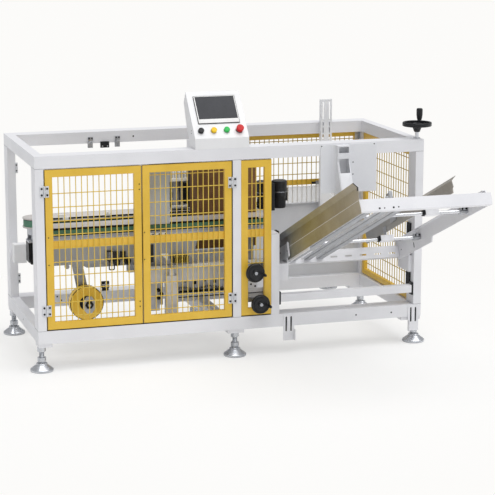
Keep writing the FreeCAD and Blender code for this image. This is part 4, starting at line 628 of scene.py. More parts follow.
FRAME_PAINT = painted("frame_powder_coat", "frame_paint", "E8E8EB", "E2E2E5", (0.42, 0.52), 700.0, 0.22,
                      3.0, wear=("B9BABD", 0.0022, 0.35))
SHEET_PAINT = painted("sheet_powder_coat", "sheet_white", "E2E3E6", "DBDCE0", (0.4, 0.5), 800.0, 0.22, 4.0,
                      wear=("B5B6BA", 0.0018, 0.3))
HOPPER_PAINT = painted("hopper_powder_coat", "hopper_white", "E8E8EB", "E0E0E4", (0.38, 0.5), 800.0, 0.22,
                       4.0, wear=("AFB0B4", 0.0018, 0.35))
HOUSING_PAINT = painted("housing_powder_coat", "housing_paint", "ECECED", "E7E7E8", (0.4, 0.5), 650.0, 0.25,
                        4.0, wear=("C3C2C0", 0.0018, 0.3))
WELD_GREY = painted("weld_line_grey", "frame_paint", "8D8E92", "7C7D81", (0.5, 0.6), 500.0, 0.3, 20.0)
PANEL_PAINT = painted("panel_grey_coat", "panel_grey", "CFD0D3", "C8C9CC", (0.42, 0.52), 750.0, 0.22, 3.0,
                      wear=("A9AAAD", 0.0018, 0.3))
GUARD_PAINT = painted("guard_yellow_coat", "guard_yellow", "E6BD42", "DEB43A", (0.34, 0.46), 800.0, 0.22, 6.0,
                      wear=("B4923C", 0.0018, 0.35))
STRIP_SHEET = painted("frosted_strip", "strip_clear", "DCDDE0", "D3D4D8", (0.3, 0.42), 500.0, 0.15, 4.0)
STRIP_SHEET.node_tree.nodes["Principled BSDF"].inputs["Alpha"].default_value = 0.4
WIRE_PAINT = painted("guard_wire_coat", "guard_yellow", "E4C452", "D6B545", (0.4, 0.5), 500.0, 0.15, 9.0)
# Painted shade: a darker copy of the guard wire yellow, for the wires of the back and side guards that lie in
# the machine's shade.
WIRE_PAINTED_SHADE = painted("guard_wire_painted_shade", "guard_yellow", "C9AC45", "B99C38", (0.4, 0.5), 500.0,
                            0.15, 9.0)
CHANNEL_PAINT = painted("channel_grey_coat", "frame_paint", "DCDDE1", "D2D3D8", (0.42, 0.52), 700.0, 0.22,
                        4.0, wear=("9B9CA0", 0.002, 0.35))
LIP_PAINT = painted("lip_blue_grey_coat", "belt_plate", "B4BAC8", "A8AEBC", (0.36, 0.46), 700.0, 0.2, 6.0)
PROFILE_PAINT = painted("profile_grey_coat", "belt_plate", "C2C6D0", "B4B8C3", (0.4, 0.5), 700.0, 0.2, 6.0)
BEAM_PAINT = painted("beam_grey_coat", "beam_grey", "A4A6AA", "999BA0", (0.4, 0.52), 700.0, 0.25, 5.0,
                     wear=("7B7D80", 0.002, 0.35))
PLATE_PAINT = painted("belt_plate_coat", "belt_plate", "D0CBC7", "C6C2BF", (0.4, 0.5), 700.0, 0.22, 5.0,
                      wear=("8F8C86", 0.002, 0.35))
FLAP_PAINT = painted("flap_head_coat", "flap_grey", "B8B9BC", "ABACB0", (0.4, 0.5), 700.0, 0.22, 6.0,
                     wear=("8A8B8E", 0.002, 0.3))
# Painted reflection: the left guide's colour goes from beige at its outer end through olive to grey-blue at
# the machine, its surroundings' reflection painted into the sheet.
LEFT_GUIDE_REFLECTION_TONES = ((0.0, "A79E8C"), (0.3, "9F9478"), (0.6, "978B5C"), (0.78, "86826A"), (0.9, "737679"),
                    (1.0, "6E7175"))
RIGHT_GUIDE_TONES = ((0.0, "A39E97"), (0.5, "A9A6A1"), (1.0, "9A9A9B"))
LEFT_GUIDE_PAINT = guide_finish("left_guide_coat", LEFT_GUIDE_REFLECTION_TONES)
RIGHT_GUIDE_PAINT = guide_finish("right_guide_coat", RIGHT_GUIDE_TONES)
BLACK_PAINT = painted("motor_black_coat", "motor_black", "1A1B1D", "222326", (0.34, 0.48), 600.0, 0.25, 9.0,
                      wear=("3C3D40", 0.0015, 0.4), specular=0.35)
BLACK_PLASTIC = painted("wheel_black_plastic", "wheel_black", "141517", "1B1C1F", (0.3, 0.42), 500.0, 0.18,
                        12.0, wear=("303134", 0.0015, 0.35), specular=0.4)
RUBBER = painted("roller_rubber", "roller_black", "161718", "1F2021", (0.6, 0.75), 500.0, 0.3, 20.0,
                 specular=0.25)
BELT_FINISH = painted("green_belt_top", "belt_green", "55856C", "4A7860", (0.5, 0.65), 450.0, 0.4, 12.0)
HINGE_METAL = painted("hinge_die_cast", "hinge_metal", "DADBDE", "CDCFD3", (0.3, 0.42), 500.0, 0.3, 20.0,
                      metal=0.35)
GEAR_METAL = painted("gear_die_cast", "gear_metal", "BFC1C6", "AEB0B5", (0.34, 0.5), 350.0, 0.45, 12.0,
                     metal=0.5)
FOOT_METAL = machined("foot_cast_metal", "foot_steel", "D2D4D8", "BCBFC4", (0.22, 0.32), (30.0, 30.0, 90.0),
                      0.03, 0.75)
BAR_STEEL = machined("bar_plated_steel", "bar_steel", "DDDEE1", "CDCED2", (0.34, 0.46), (260.0, 6.0, 260.0),
                     0.05, 0.25)
ROD_STEEL = machined("rod_bright_steel", "rod_steel", "E2E3E6", "CCCED2", (0.2, 0.3), (6.0, 300.0, 300.0),
                     0.04, 0.7)
MAST_STEEL = machined("mast_anodised", "mast_steel", "F2F3F5", "E8E9EC", (0.36, 0.48), (300.0, 300.0, 6.0),
                      0.05, 0.2)
TAPE_STEEL = machined("tape_head_steel", "tape_steel", "A9ABAF", "8E9095", (0.3, 0.46), (8.0, 700.0, 700.0),
                      0.15, 0.7)
COIL_BRASS = machined("coil_brass", "tape_steel", "A8964E", "7D6F34", (0.28, 0.42), (300.0, 300.0, 300.0),
                      0.08, 0.5)
LID_METAL = machined("drum_lid_metal", "motor_black", "8E9094", "6C6E72", (0.18, 0.3), (500.0, 500.0, 30.0),
                     0.1, 0.8)
RAIL_BLACK = painted("rail_black_oxide", "rail_black", "1E1F21", "292A2D", (0.32, 0.45), 600.0, 0.2, 14.0,
                     metal=0.3, specular=0.35)
BEARING_METAL = machined("bearing_block_metal", "bearing_metal", "C6C8CC", "A6A8AC", (0.3, 0.46),
                         (700.0, 8.0, 700.0), 0.15, 0.7)
SCREW_DARK = painted("screw_black_oxide", "rail_black", "1C1D1F", "27282B", (0.38, 0.52), 900.0, 0.2, 40.0,
                     metal=0.3, specular=0.3)
SCREW_ZINC = machined("screw_zinc", "bearing_metal", "C9CBCF", "A2A4A8", (0.25, 0.4), (400.0, 400.0, 400.0),
                      0.1, 0.9)
WHITE_PLASTIC = painted("white_plastic", "flap_grey", "FBFBF7", "F4F4EF", (0.35, 0.45), 600.0, 0.1, 9.0)
# Painted shade: a dark grey-brown sheet colour for the shaded space behind the flap head.
PAINTED_SHADE_SHEET = painted("painted_shade_sheet_coat", "flap_grey", "5E5651", "524B47", (0.5, 0.6), 600.0, 0.2, 9.0)
HUNG_PAINT = painted("hung_sheet_coat", "flap_grey", "BFC4CA", "B4B9C0", (0.42, 0.52), 750.0, 0.22, 3.0)
BOARD = board_finish()
AMBER = tape_finish()
SCREEN_FRAME = painted("screen_outline", "screen_dark", "242528", "2C2D31", (0.4, 0.5), 700.0, 0.2, 10.0,
                       specular=0.3)
SCREEN_GLASS = painted("screen_glass", "screen_dark", "36373C", "303136", (0.28, 0.36), 300.0, 0.02, 6.0,
                       specular=0.2)
BEZEL_PAINT = painted("screen_bezel_coat", "screen_dark", "E3E2E1", "DCDBDA", (0.35, 0.45), 700.0, 0.2, 10.0)


def cap_finish(name, base, drift):
    return painted(name, "button_caps", base, drift, (0.34, 0.44), 600.0, 0.08, 30.0, coat=0.05,
                   specular=0.25)


CAP_BLACK = cap_finish("button_black", "0B0B0C", "121214")
CAP_YELLOW = cap_finish("button_yellow", "F0C81C", "E6BA14")
CAP_GREEN = cap_finish("button_green", "2CC45A", "22B04C")
CAP_RED = cap_finish("button_red", "CC1319", "BC0E14")


def dress(finish, *names, soften=0.0):
    """Gives CAD nodes their finish, and breaks their edges by the soften width in millimetres."""
    for name in names:
        piece = nodes[name]
        piece.data.materials.clear()
        piece.data.materials.append(finish)
        if soften:
            piece.modifiers.new("merged", "WELD").merge_threshold = 1e-5
            break_edges(piece, soften, SHARP_ANGLE, harden=True)


# Guards

DOOR_Z, DOOR_H, CROSSBAR_Z = 76.0, 853.0, 453.0
FIRST_ROW, ROW_PITCH, ROW_COUNT = 798.0, 73.0, 11
GUARD_DEPTH, CROSSBAR_FRONT, CROSSBAR_BACK = 25.0, 14.2, 24.6
HINGE_HEIGHTS = (180.0, 815.0)


def guard(width, height, bar, wires, rows, crossbars=(), mesh_low=None, cross=40.0):
    """Mesh guard drawn with its corner at the origin: ring, round uprights, round rows, crossbars."""
    wire_r = 2.5
    low_z = bar if mesh_low is None else mesh_low
    pitch = (width - 2 * bar) / (wires + 1)
    x = bar + pitch * np.arange(1, wires + 1)
    ones, y0 = np.ones_like(x), 4 + wire_r
    uprights = tubes(np.stack([x, y0 * ones, (low_z - 2) * ones], -1),
                     np.stack([x, y0 * ones, (height - bar + 2) * ones], -1), wire_r)
    z = np.asarray(rows, float)
    ones = np.ones_like(z)
    row_y = (y0 + 2 * wire_r) * ones
    lines = tubes(np.stack([(bar - 2) * ones, row_y, z], -1),
                  np.stack([(width - bar + 2) * ones, row_y, z], -1), wire_r)
    half = cross / 2
    bars = [block((bar - 1, CROSSBAR_FRONT, c - half), (width - bar + 1, CROSSBAR_BACK, c + half), 2.5)
            for c in crossbars]
    return joined(mitred_ring(width, height, bar, GUARD_DEPTH, 3.0), *bars), joined(uprights, lines)


def make_guards():
    """The two doors, the fixed narrow guard, and the guards behind and at the right of the hopper bay."""
    rows = FIRST_ROW - ROW_PITCH * np.arange(ROW_COUNT)
    for name, x0, x1 in (("left_door", 52.0, 566.5), ("right_door", 572.5, 1064.0)):
        kept = rows[1:] if name == "left_door" else rows
        bars, wires = guard(x1 - x0, DOOR_H, 40.0, 13, kept, [CROSSBAR_Z])
        make(name + "_bars", shift(bars, x0, 0, DOOR_Z), GUARD_PAINT, name, stands_for=[name])
        make(name + "_wires", shift(wires, x0, 0, DOOR_Z), WIRE_PAINT, name)
    rows_short = rows[1:8]
    narrow = guard(172.0, DOOR_H, 40.0, 3, rows_short, [CROSSBAR_Z], rows_short[-1] - 2.5)
    back_rows = 410.0 - 67.0 * np.arange(4)
    back = guard(1008.0, 457.0, 32.0, 31, back_rows, [159.0], cross=32.0)
    side = [(np.stack([2159 - points[:, 1], 100 + points[:, 0], DOOR_Z + points[:, 2]], -1), quads, caps)
            for points, quads, caps in guard(730.0, DOOR_H, 32.0, 17, rows)]
    # The back and side guards' wires take the darker wire yellow, which is painted shade.
    for name, shapes, (x, y, z), wire_finish in (
            ("narrow_guard", narrow, (1116, 0, DOOR_Z), WIRE_PAINT),
            ("back_guard", back, (1116, 880, 478), WIRE_PAINTED_SHADE),
            ("side_guard", side, (0, 0, 0), WIRE_PAINTED_SHADE)):
        make(name + "_bars", shift(shapes[0], x, y, z), GUARD_PAINT, stands_for=[name])
        make(name + "_wires", shift(shapes[1], x, y, z), wire_finish)


SOCKET_SCREW = lathe([(5.4, 0), (5.4, 2.6), (4.8, 3.4), (3.0, 3.4), (2.8, 1.4)], 16)
SMALL_SCREW = lathe([(3.4, 0), (3.4, 0.8), (2.6, 1.8), (1.4, 2.0)], 14)


def make_hinges():
    """Two-leaf hinges: rounded leaves, knuckles round a pin, two socket screws in each leaf, and the
    plates that are left on the back post."""
    r, half = 4.9, 30
    post_parts, post_screws = [], []
    for tag, x, side in (("left", 49.0, 1), ("right", 1067.0, -1)):
        leaves, screws = [], []
        for z in HINGE_HEIGHTS:
            low_and_high = [(z - half, z - 10), (z + 10, z + half)]
            for turn, spans, kept, kept_screws in ((side, [(z - 9.7, z + 9.7)], leaves, screws),
                                                   (-side, low_and_high, post_parts, post_screws)):
                kept.append(block((x + turn * 6, -4, z - half), (x + turn * 24, -0.2, z + half), 1.6))
                for low_z, high_z in spans:
                    knuckle = [(r - 1, low_z), (r, low_z + 1), (r, high_z - 1), (r - 1, high_z)]
                    kept.append(lathe(knuckle, 20, (x, -5, 0)))
                    kept.append(block((x, -4, low_z), (x + turn * 7, -1, high_z), 0.8))
                kept_screws += [(x + turn * 14.5, -4, z - 17), (x + turn * 14.5, -4, z + 17)]
        post_parts += [lathe([(2.4, z - half), (2.4, z + half)], 12, (x, -5, 0)) for z in HINGE_HEIGHTS]
        if tag == "left":
            post_parts += [block((42, 826, z - half), (58, 830, z + half), 1.5) for z in HINGE_HEIGHTS]
        body = tag + "_door"
        make(tag + "_hinge_leaves", leaves, HINGE_METAL, body, stands_for=[body + "_hinges"])
        make(tag + "_hinge_screws", copies(SOCKET_SCREW, screws, FRONT), SCREW_DARK, body)
    make("post_hinge_leaves", post_parts, HINGE_METAL, stands_for=["post_hinges"])
    make("post_hinge_screws", copies(SOCKET_SCREW, post_screws, FRONT), SCREW_DARK)


# Frame trim

RAIL_EDGES = (70, 935)


def make_seals_and_welds():
    """Black seals in the gaps round the doors, which also paint the shade in those gaps, weld lines, the
    doors' screws, and hole mouths in the rails.
    """
    seals = []
    # Black rubber strips behind the door gaps: seals, and painted shade that makes the gaps dark.
    for x0, x1 in ((46.2, 49.0), (1067.0, 1069.8), (1116.2, 1117.6)):
        seals.append(block((x0, 6, 76), (x1, 22, 929), 0.8))
    for z0, z1 in ((70.2, 72.6), (932.4, 934.8)):
        seals.append(block((46, 6, z0), (1070, 22, z1), 0.8))
        seals.append(block((1116, 6, z0), (1288, 22, z1), 0.8))
    make("door_seals_and_gap_shade", seals, RUBBER, slot="frame_paint")
    edge = block((566.7, 5, 77), (568.6, 20, 928), 0.6)
    make("door_edge_seal_and_gap_shade", edge, RUBBER, "left_door", slot="guard_yellow")
    lines = []
    for x0, x1 in ((0, 46), (1070, 1116), (2124, 2170)):
        lines += [block((x0 + 0.5, -0.35, z - 0.8), (x1 - 0.5, 0.3, z + 0.8), 0.2) for z in RAIL_EDGES]
    for x0, y0, y1 in ((-0.35, 0.5, 99), (-0.35, 831, 929), (2123.7, 0.5, 99)):
        x1 = 0.3 if x0 < 0 else 2124.3
        lines += [block((x0, y0, z - 0.8), (x1, y1, z + 0.8), 0.2) for z in RAIL_EDGES]
    lines.append(block((1288.5, -0.35, 519.4), (1333.5, 0.3, 520.6), 0.2))
    make("weld_lines", lines, WELD_GREY, slot="frame_paint")
    left = [(66, 0, 571), (65, 0, 425), (555, 0, 831), (555, 0, 803), (552, 0, 198), (552, 0, 170)]
    make("left_door_screws", screws_at(left, FRONT), SCREW_DARK, "left_door")
    make("right_door_screws", screws_at([(581, 0, 570), (579, 0, 424)], FRONT), SCREW_DARK, "right_door")
    rail = dots(4.8, [(1783, 0, 33), (1993, 0, 32)], FRONT)
    rear = dots(5.0, [(267, 830, 57), (290, 830, 33), (727, 830, 966)], FRONT)
    side = dots(4.4, [(0, 447, 33)], LEFT)
    sill = dots(3.4, [(862, 74, 1091), (862, 74, 1077)], LEFT)
    clips = dots(4.4, [(50, 826, z + d) for z in HINGE_HEIGHTS for d in (-16, 16)], FRONT)
    make("rail_hole_mouths", [rail, rear, side, sill, clips], SCREW_DARK)


def make_rail_sensors():
    """Two posted sensors and a box on the rear top rail, and a clip on the rear bottom rail."""
    places = (459, 616)
    posts = [block((x, 816, 911), (x + 29, 830, 948), 2.0) for x in places]
    posts += [block((x + 3, 820, 946), (x + 31, 830, 972), 2.0) for x in places]
    ribs = [block((x + 3, 813.5, 914 + 8 * k), (x + 26, 816.5, 918 + 8 * k), 1.0)
            for x in places for k in range(4)]
    caps = [block((x + d, 815, 960), (x + d + 8, 820.5, 969), 1.5) for x in places for d in (4, 21)]
    caps += [block((x + 2, 817, 945), (x + 14, 820.5, 951), 1.0) for x in places]
    box = block((532, 814, 909), (583, 830, 944), 2.5)
    lamps = dots(4.5, [(543, 814, 918), (572, 814, 918)], FRONT)
    make("rail_sensor_posts", [*posts, lamps], SCREW_ZINC, slot="frame_paint")
    make("rail_sensor_ribs", ribs, BEAM_PAINT, slot="frame_paint")
    make("rail_sensor_heads", [*caps, box], RAIL_BLACK, slot="frame_paint")
    clip = [block((533, 838, 70), (571, 852, 88), 2), block((529, 835, 86), (575, 852, 126), 3)]
    make("rear_rail_clip", clip, RAIL_BLACK, slot="frame_paint")
    light = [block((531, 832.6, 104), (573, 835.4, 110), 1), block((549, 832.6, 88), (556, 835.4, 122), 1),
             dots(5.0, [(541, 835, 97), (564, 835, 97)], FRONT)]
    make("rear_rail_clip_face", light, SCREW_ZINC, slot="frame_paint")


def make_plate_trim():
    """Backs of the bracket slots, the stop plate's screws, bars behind the narrow guard, latch at the
    back."""
    dark = [block((x + share * 64 - 3.8, -0.9, -29), (x + share * 64 + 3.8, -0.3, 53), 0.2)
            for x in (1356, 2092) for share in (0.28, 0.72)]
    make("bracket_slot_backs", dark, SCREW_DARK, slot="frame_paint")
    plate = dots(3.4, [(1571, -4, 987), (1875, -4, 989), (1753, -4, 893), (1753, -4, 827)], FRONT)
    make("stop_plate_screws", plate, SCREW_DARK, slot="sheet_white")
    bars = [block((1116, 40, 193), (1288, 58, 214), 2.5), block((1116, 44, 163), (1288, 62, 188), 2.5),
            block((1150, 46, 213), (1222, 52, 254), 1.5)]
    make("narrow_bay_bars", bars, CHANNEL_PAINT)
    marks = dots(5.5, [(1186, 46, 238), (1210, 46, 226)], FRONT)
    lines = [block((1116.5, 39, 191), (1287.5, 42, 193.5), 0.6),
             block((1116.5, 42.5, 161), (1287.5, 46, 163.5), 0.6)]
    make("narrow_bay_marks", [marks, *lines], SCREW_DARK, slot="frame_paint")
    corner = [block((2096, 874, 884), (2123, 880.5, 930), 2), block((2118, 866, 892), (2134.5, 876, 924), 2)]
    make("back_corner_bracket", corner, SCREW_ZINC, slot="guard_yellow")
    latch = block((1848, 866, 622), (1876, 880, 645), 2.0)
    make("back_guard_latch", latch, SCREW_ZINC, slot="guard_yellow")
    make("back_guard_bolt", block((1824, 868, 627), (1850, 880, 640), 2.0), SCREW_DARK, slot="guard_yellow")


# Levelling feet

FOOT_H = 155.0


def levelling_foot():
    """Cone on a disc, a stem with a ring thread, a collar and two hexagon nuts."""
    cone = lathe([(2, 0), (57, 0), (60.6, 1.5), (62, 4), (62, 11), (60.6, 14), (56, 17), (33, 35), (30.5, 38),
                  (30, 43), (28, 45), (9, 46.2)], 52)
    h = np.arange(46.0, 135.0, 1.25)
    stem = lathe(np.stack([np.where(np.arange(len(h)) % 2, 12.6, 13.6), h], -1), 20)

    def nut(z, height, r):
        ring = [(r - 2.4, z), (r, z + 1.4), (r, z + height - 1.4), (r - 2.4, z + height)]
        return lathe(ring, 6)
    collar = lathe([(16, 46), (18.5, 47.5), (18.5, 50), (16, 52)], 28)
    return joined(cone, stem, collar, nut(53, 24, 23), nut(106, 28.6, 23))


def make_feet():
    """The six feet, the pad under the back rail, and the feet's plates on the bottom rails."""
    foot_x = (23, 1093, 2147)
    sides = ((45, -40, 50), (885, -50, 40))
    reach = (-22, 52), (-50, 42), (-93, 22)
    feet = [copies(levelling_foot(), [(x, y, 0) for x in foot_x]) for y, _, _ in sides]
    plates = [block((x + lo, y + near, 135), (x + hi, y + far, 155), 2.0)
              for y, near, far in sides for x, (lo, hi) in zip(foot_x, reach)]
    pad = lathe([(2, -16), (54, -16), (56.4, -14.5), (57, -12), (57, -5), (55.5, -2), (50, -0.4), (30, 0),
                 (2, 0)], 44, (1936, 885, 0))
    feet.append(shift(pad, 0, 0, FOOT_H))
    make("foot_cones_and_stems", shift(joined(*feet), 0, 0, -FOOT_H), FOOT_METAL,
         stands_for=["levelling_feet"])
    make("foot_plates", shift(joined(*plates), 0, 0, -FOOT_H), FRAME_PAINT)


# Control housing

def make_controls():
    """Screen with a pale bezel, dark outline and glass, three flat buttons and a mushroom stop."""
    x, d = 34, 91
    body = block((x, d, 0), (x + 232, d + 176, 5.6), 2.2)
    panel_part("screen_body", body, SCREEN_FRAME, stands_for=["touch_screen"])
    bezel = block((x + 2.4, d + 2.4, 3.0), (x + 229.6, d + 173.6, 6.6), 1.6)
    panel_part("screen_bezel_plate", bezel, BEZEL_PAINT, slot="screen_dark")
    glass = block((x + 8, d + 27, 4.0), (x + 225, d + 170, 6.9), 0.8)
    panel_part("screen_glass_pane", glass, SCREEN_GLASS)
    spots = [(40 + 71.3 * k, 47.0, 0.0) for k in range(4)]
    seats = [shift(lathe([(r + 1.6, 0), (r + 1.6, 0.9), (r + 0.8, 1.6), (r - 3, 1.6)], 40), *spot)
             for r, spot in zip((15.5, 15.5, 15.5, 20), spots)]
    panel_part("button_seats", joined(*seats), SCREW_ZINC, slot="button_caps", stands_for=["push_buttons"])
    cap = lathe([(14.6, 0.5), (15.5, 2.0), (15.5, 13.4), (14.7, 14.8), (13.4, 15.2), (12.6, 14.6),
                 (4.0, 14.3)], 40)
    head = lathe([(14.5, 0.5), (14.5, 8), (19.0, 9), (20, 11), (20, 23.4), (18.8, 25.6), (16.5, 26.4),
                  (5, 27)], 44)
    for spot, tone, finish in zip(spots, ("black", "yellow", "green"), (CAP_BLACK, CAP_YELLOW, CAP_GREEN)):
        panel_part("button_cap_" + tone, copies(cap, [spot]), finish)
    panel_part("stop_button_head", copies(head, [spots[3]]), CAP_RED)


# Belts

BELTS = ((228.0, -1), (522.0, 1))
ENDS = (98.0, 1264.0)


def make_belts():
    """Belts with black edges that also paint the covers' shadow, their cover and base plates, the outer lip
    and profile, and the drums.
    """
    bands, edges, covers, drums, lips, profiles = [], [], [], [], [], []
    for y_mid, side in BELTS:
        bands.append(loop_band(70.0, 4.0, 540.0, 577.0, ENDS, y_mid))
        # Black band on each belt's top edge under its cover, and black strips along the lips and between the
        # covers: black edging, and painted shadow of the covers.
        edges.append(loop_band(70.6, 5.0, 576.6, 580.2, ENDS, y_mid))
        lane = y_mid - side * 68.0
        cut = np.minimum if side < 0 else np.maximum
        for z0, z1 in ((580.3, 588.0), (532.0, 539.7)):
            outline = race(74.0, ENDS, y_mid, 24)
            outline[:, 1] = cut(outline[:, 1], lane)
            covers.append(prism(outline, z0, z1, axis=2))
        covers.append(block((174, y_mid - 66, 531), (1188, y_mid + 66, 588.5), 2))
        edge = y_mid + side * 74.0
        edges.append(block((100, edge + side * 0.4, 580), (1262, edge - side * 2, 588.2), 0.3))
        lips.append(block((78, edge, 536), (1284, edge + side * 4, 545), 1.2))
        profiles.append(block((78, edge, 516), (1284, edge + side * 3, 535), 1.2))
        edges.append(block((80, edge, 545), (1282, edge + side * 2.6, 550), 0.8))
        covers.append(block((78, y_mid, 532), (1284, edge, 539.6), 1.5))
        drums += [lathe([(63, 539.8), (66, 541), (66, 579), (63, 580.2)], 48, (x, y_mid, 0)) for x in ENDS]
    covers.append(block((110, 448.6, 568), (948, 451.6, 580), 0.6))
    edges += [block((110, 448.2, z0), (948, 451.9, z1), 0.6) for z0, z1 in ((579.6, 588.6), (562, 568))]
    make("belt_bands", bands, BELT_FINISH, stands_for=["side_belts"])
    make("belt_black_edges_and_cover_shadow", edges, RUBBER, slot="belt_plate")
    make("belt_cover_plates", covers, PLATE_PAINT, stands_for=["belt_frames"], bevel=0.8)
    make("belt_lips", lips, LIP_PAINT)
    make("belt_profiles", profiles, PROFILE_PAINT)
    make("belt_drums", drums, GEAR_METAL)


def make_motors():
    """Turned gearbox with a flange and four screws over each motor, a block with thin cooling fins."""
    gears, motors, fins = [], [], []
    x = ENDS[0]
    for y, _ in BELTS:
        gears.append(lathe([(40, 490), (45, 492), (46, 496), (46, 524), (44, 530), (40, 532)], 44, (x, y, 0)))
        gears.append(lathe([(33, 462), (28, 466), (27, 484), (32, 491)], 36, (x, y, 0)))
        gears.append(block((46, y - 42, 450), (150, y + 42, 462), 4))
        gears.append(copies(lathe([(5, 0), (5, 5), (4, 6), (1.5, 6.2)], 6),
                            [(x + sx * 42, y + sy * 33, 462) for sx in (-1, 1) for sy in (-1, 1)]))
        motors.append(block((54, y - 34, 332), (121, y + 34, 450), 6))
        motors.append(block((60, y - 28, 326), (115, y + 28, 333), 3))
        fins += [block((46 + 8.8 * k, y - 42, 340), (49 + 8.8 * k, y + 42, 449.5), 1.2) for k in range(10)]
    make("gearbox_castings", gears, GEAR_METAL, stands_for=["belt_gearboxes"])
    make("motor_cores_and_fins", motors + fins, BLACK_PAINT, stands_for=["belt_motors"])


# Hopper

SLIDE_X = (1462.0, 1547.0, 1620.0)
ROD_Y, ROD_Z = (-820.0, -160.0), 31.0
HOPPER_LEFT, HOPPER_RIGHT = 1402.0, 2098.0
SLIDE_OUTER, SLIDE_INNER = -1122.5, 165.5


def make_slide_bars():
    """Three bars, each two rails with well rounded edges on a flat web, from beam to beam."""
    rails, webs = [], []
    for x in SLIDE_X:
        rails += [block((x + d - 7, SLIDE_OUTER, 5), (x + d + 7, SLIDE_INNER, 21), 4.6, 4)
                  for d in (-10.5, 10.5)]
        webs.append(block((x - 17, SLIDE_OUTER, 0), (x + 17, SLIDE_INNER, 6), 1.0))
    hopper_part("slide_bar_rails", rails, BAR_STEEL, stands_for=["slide_bars"])
    hopper_part("slide_bar_webs", webs, BEAM_PAINT, slot="bar_steel")


def make_rods():
    """Two round rods with a clamp at each end: two halves, the dark gap between them, and screws."""
    rods, halves, cores, top, front = [], [], [], [], []
    length = HOPPER_RIGHT - HOPPER_LEFT
    rod = [(8, 0.2), (9, 1.2), (9, length - 1.2), (8, length - 0.2)]
    for y in ROD_Y:
        rods.append(lathe(rod, 32, (HOPPER_LEFT, y, ROD_Z), RIGHT))
        for x in (HOPPER_LEFT, HOPPER_RIGHT - 40):
            halves.append(block((x + 0.5, y - 21, 18), (x + 39.5, y + 21, 29.5), 2.0))
            halves.append(block((x + 0.5, y - 21, 32.5), (x + 39.5, y + 21, 49), 2.0))
            cores.append(block((x + 2, y - 19, 29), (x + 38, y + 19, 33), 0.5))
            top += [(x + 20, y + d, 49) for d in (-15.5, 15.5)]
            front += [(x + 9, y - 21, 40), (x + 31, y - 21, 40)]
    hopper_part("hopper_rods", rods, ROD_STEEL, stands_for=["guide_rods"])
    hopper_part("rod_clamps", halves, BEARING_METAL, slot="rod_steel")
    screws = [copies(SOCKET_SCREW, top), copies(SOCKET_SCREW, front, FRONT), *cores]
    hopper_part("rod_clamp_screws", screws, SCREW_DARK, slot="rod_steel")


def guide_outline(low_z, high_z, side):
    """Cross-section of a folded guide, as (across, up): hem, shallow fold, flared top, thickness 3."""
    inner = np.array([(0, low_z), (0, low_z + 22), (side * 5, (low_z + high_z) / 2), (0, high_z),
                      (side * 24, high_z + 24)], float)
    outer = inner + [side * 3.0, 0.0]
    return np.concatenate([inner, outer[::-1]])


def make_right_guide():
    """Folded sheet on two pale blocks that slide on the rods, each with a dark wiper and a foot."""
    outline = guide_outline(66.0, 129.0, 1) + [1900.0, 0.0]
    sheet = [prism(outline, -1126, 140, axis=1)]
    blocks, wipers, fittings = [], [], []
    for y in ROD_Y:
        blocks.append(block((1864, y - 21, 18), (1938, y + 21, 52), 2.6))
        wipers.append(lathe([(9.4, 0), (13, 0.6), (13.4, 3), (13.4, 12), (12, 15)], 28, (1849, y, ROD_Z),
                            RIGHT))
        wipers.append(block((1856, y - 20, 22), (1864, y + 20, 50), 1.5))
        fittings.append(block((1896, y - 20, 51), (1900, y + 20, 100), 1.2))
    fittings.append(block((1895.6, -345, 100), (1899.6, -262, 228), 1.2))
    fittings.append(block((1880, -338, 222), (1899.6, -326, 262), 2.0))
    fittings.append(block((1884, -282, 222), (1899.6, -268, 246), 2.0))
    fittings.append(block((1878, -330, 240), (1884, -300, 252), 1.5))
    hopper_part("right_guide_sheet", sheet, RIGHT_GUIDE_PAINT, "side_guide", stands_for=["right_guide"])
    for name, shapes, finish in (("guide_blocks", blocks, HOPPER_PAINT),
                                 ("guide_wipers", wipers, BLACK_PAINT),
                                 ("guide_bracket", fittings, BEARING_METAL)):
        hopper_part(name, shapes, finish, "side_guide", slot="guide_beige")


def make_hopper_trim():
    """Hole mouths, the outer ends' black edge, the sheet and clamp beside the left arm, a corner plate."""
    large = dots(5.2, [(1504, -1126, 10), (1577.5, -1126, 11)], FRONT)
    small = dots(3.6, [(1604, -1126, 12), (1530, -1126, 10)], FRONT)
    slot = block((2096.8, -69, -8), (2098.2, -61, 20), 0.6)
    arm = dots(4.0, [(HOPPER_RIGHT, 128, 19), (HOPPER_RIGHT, 193, 16)], LEFT)
    corner = dots(5.4, [(1382.8, 127, 42), (1382.8, 5, 30)], LEFT)
    edge = block((1387, -1157.2, 96), (1393, -1154.8, 113), 0.8)
    flare = prism([(-24, 136), (0, 112), (-3, 110), (-28, 135)], -1157.2, -1155, axis=1)
    hopper_part("hopper_hole_mouths", [large, small, slot, arm, corner, edge, shift(flare, 1396, 0, 0)],
                SCREW_DARK)
    plate = block((1383, -24, -6), (1387, 172, 72), 1.4)
    lip = block((1377, -32, -4), (1387, -23, 74), 3.0)
    sheet = block((1403, -612, 23), (1442, -96, 26), 1.2)
    stop = block((1403, -620, 4), (1444, -614, 58), 1.2)
    clamp = block((1402.5, -850, 14), (1476, -786, 62), 3.0)
    hopper_part("hopper_corner_plate", [plate], FLAP_PAINT, slot="hopper_white")
    hopper_part("hopper_side_sheets", [lip, sheet, stop, clamp], HOPPER_PAINT)
    fold = block((1387.2, -1155, 47.6), (1388.4, 150, 49.4), 0.5)
    hopper_part("left_guide_fold_line", [fold], HOPPER_PAINT, slot="guide_beige")


# Inside the machine

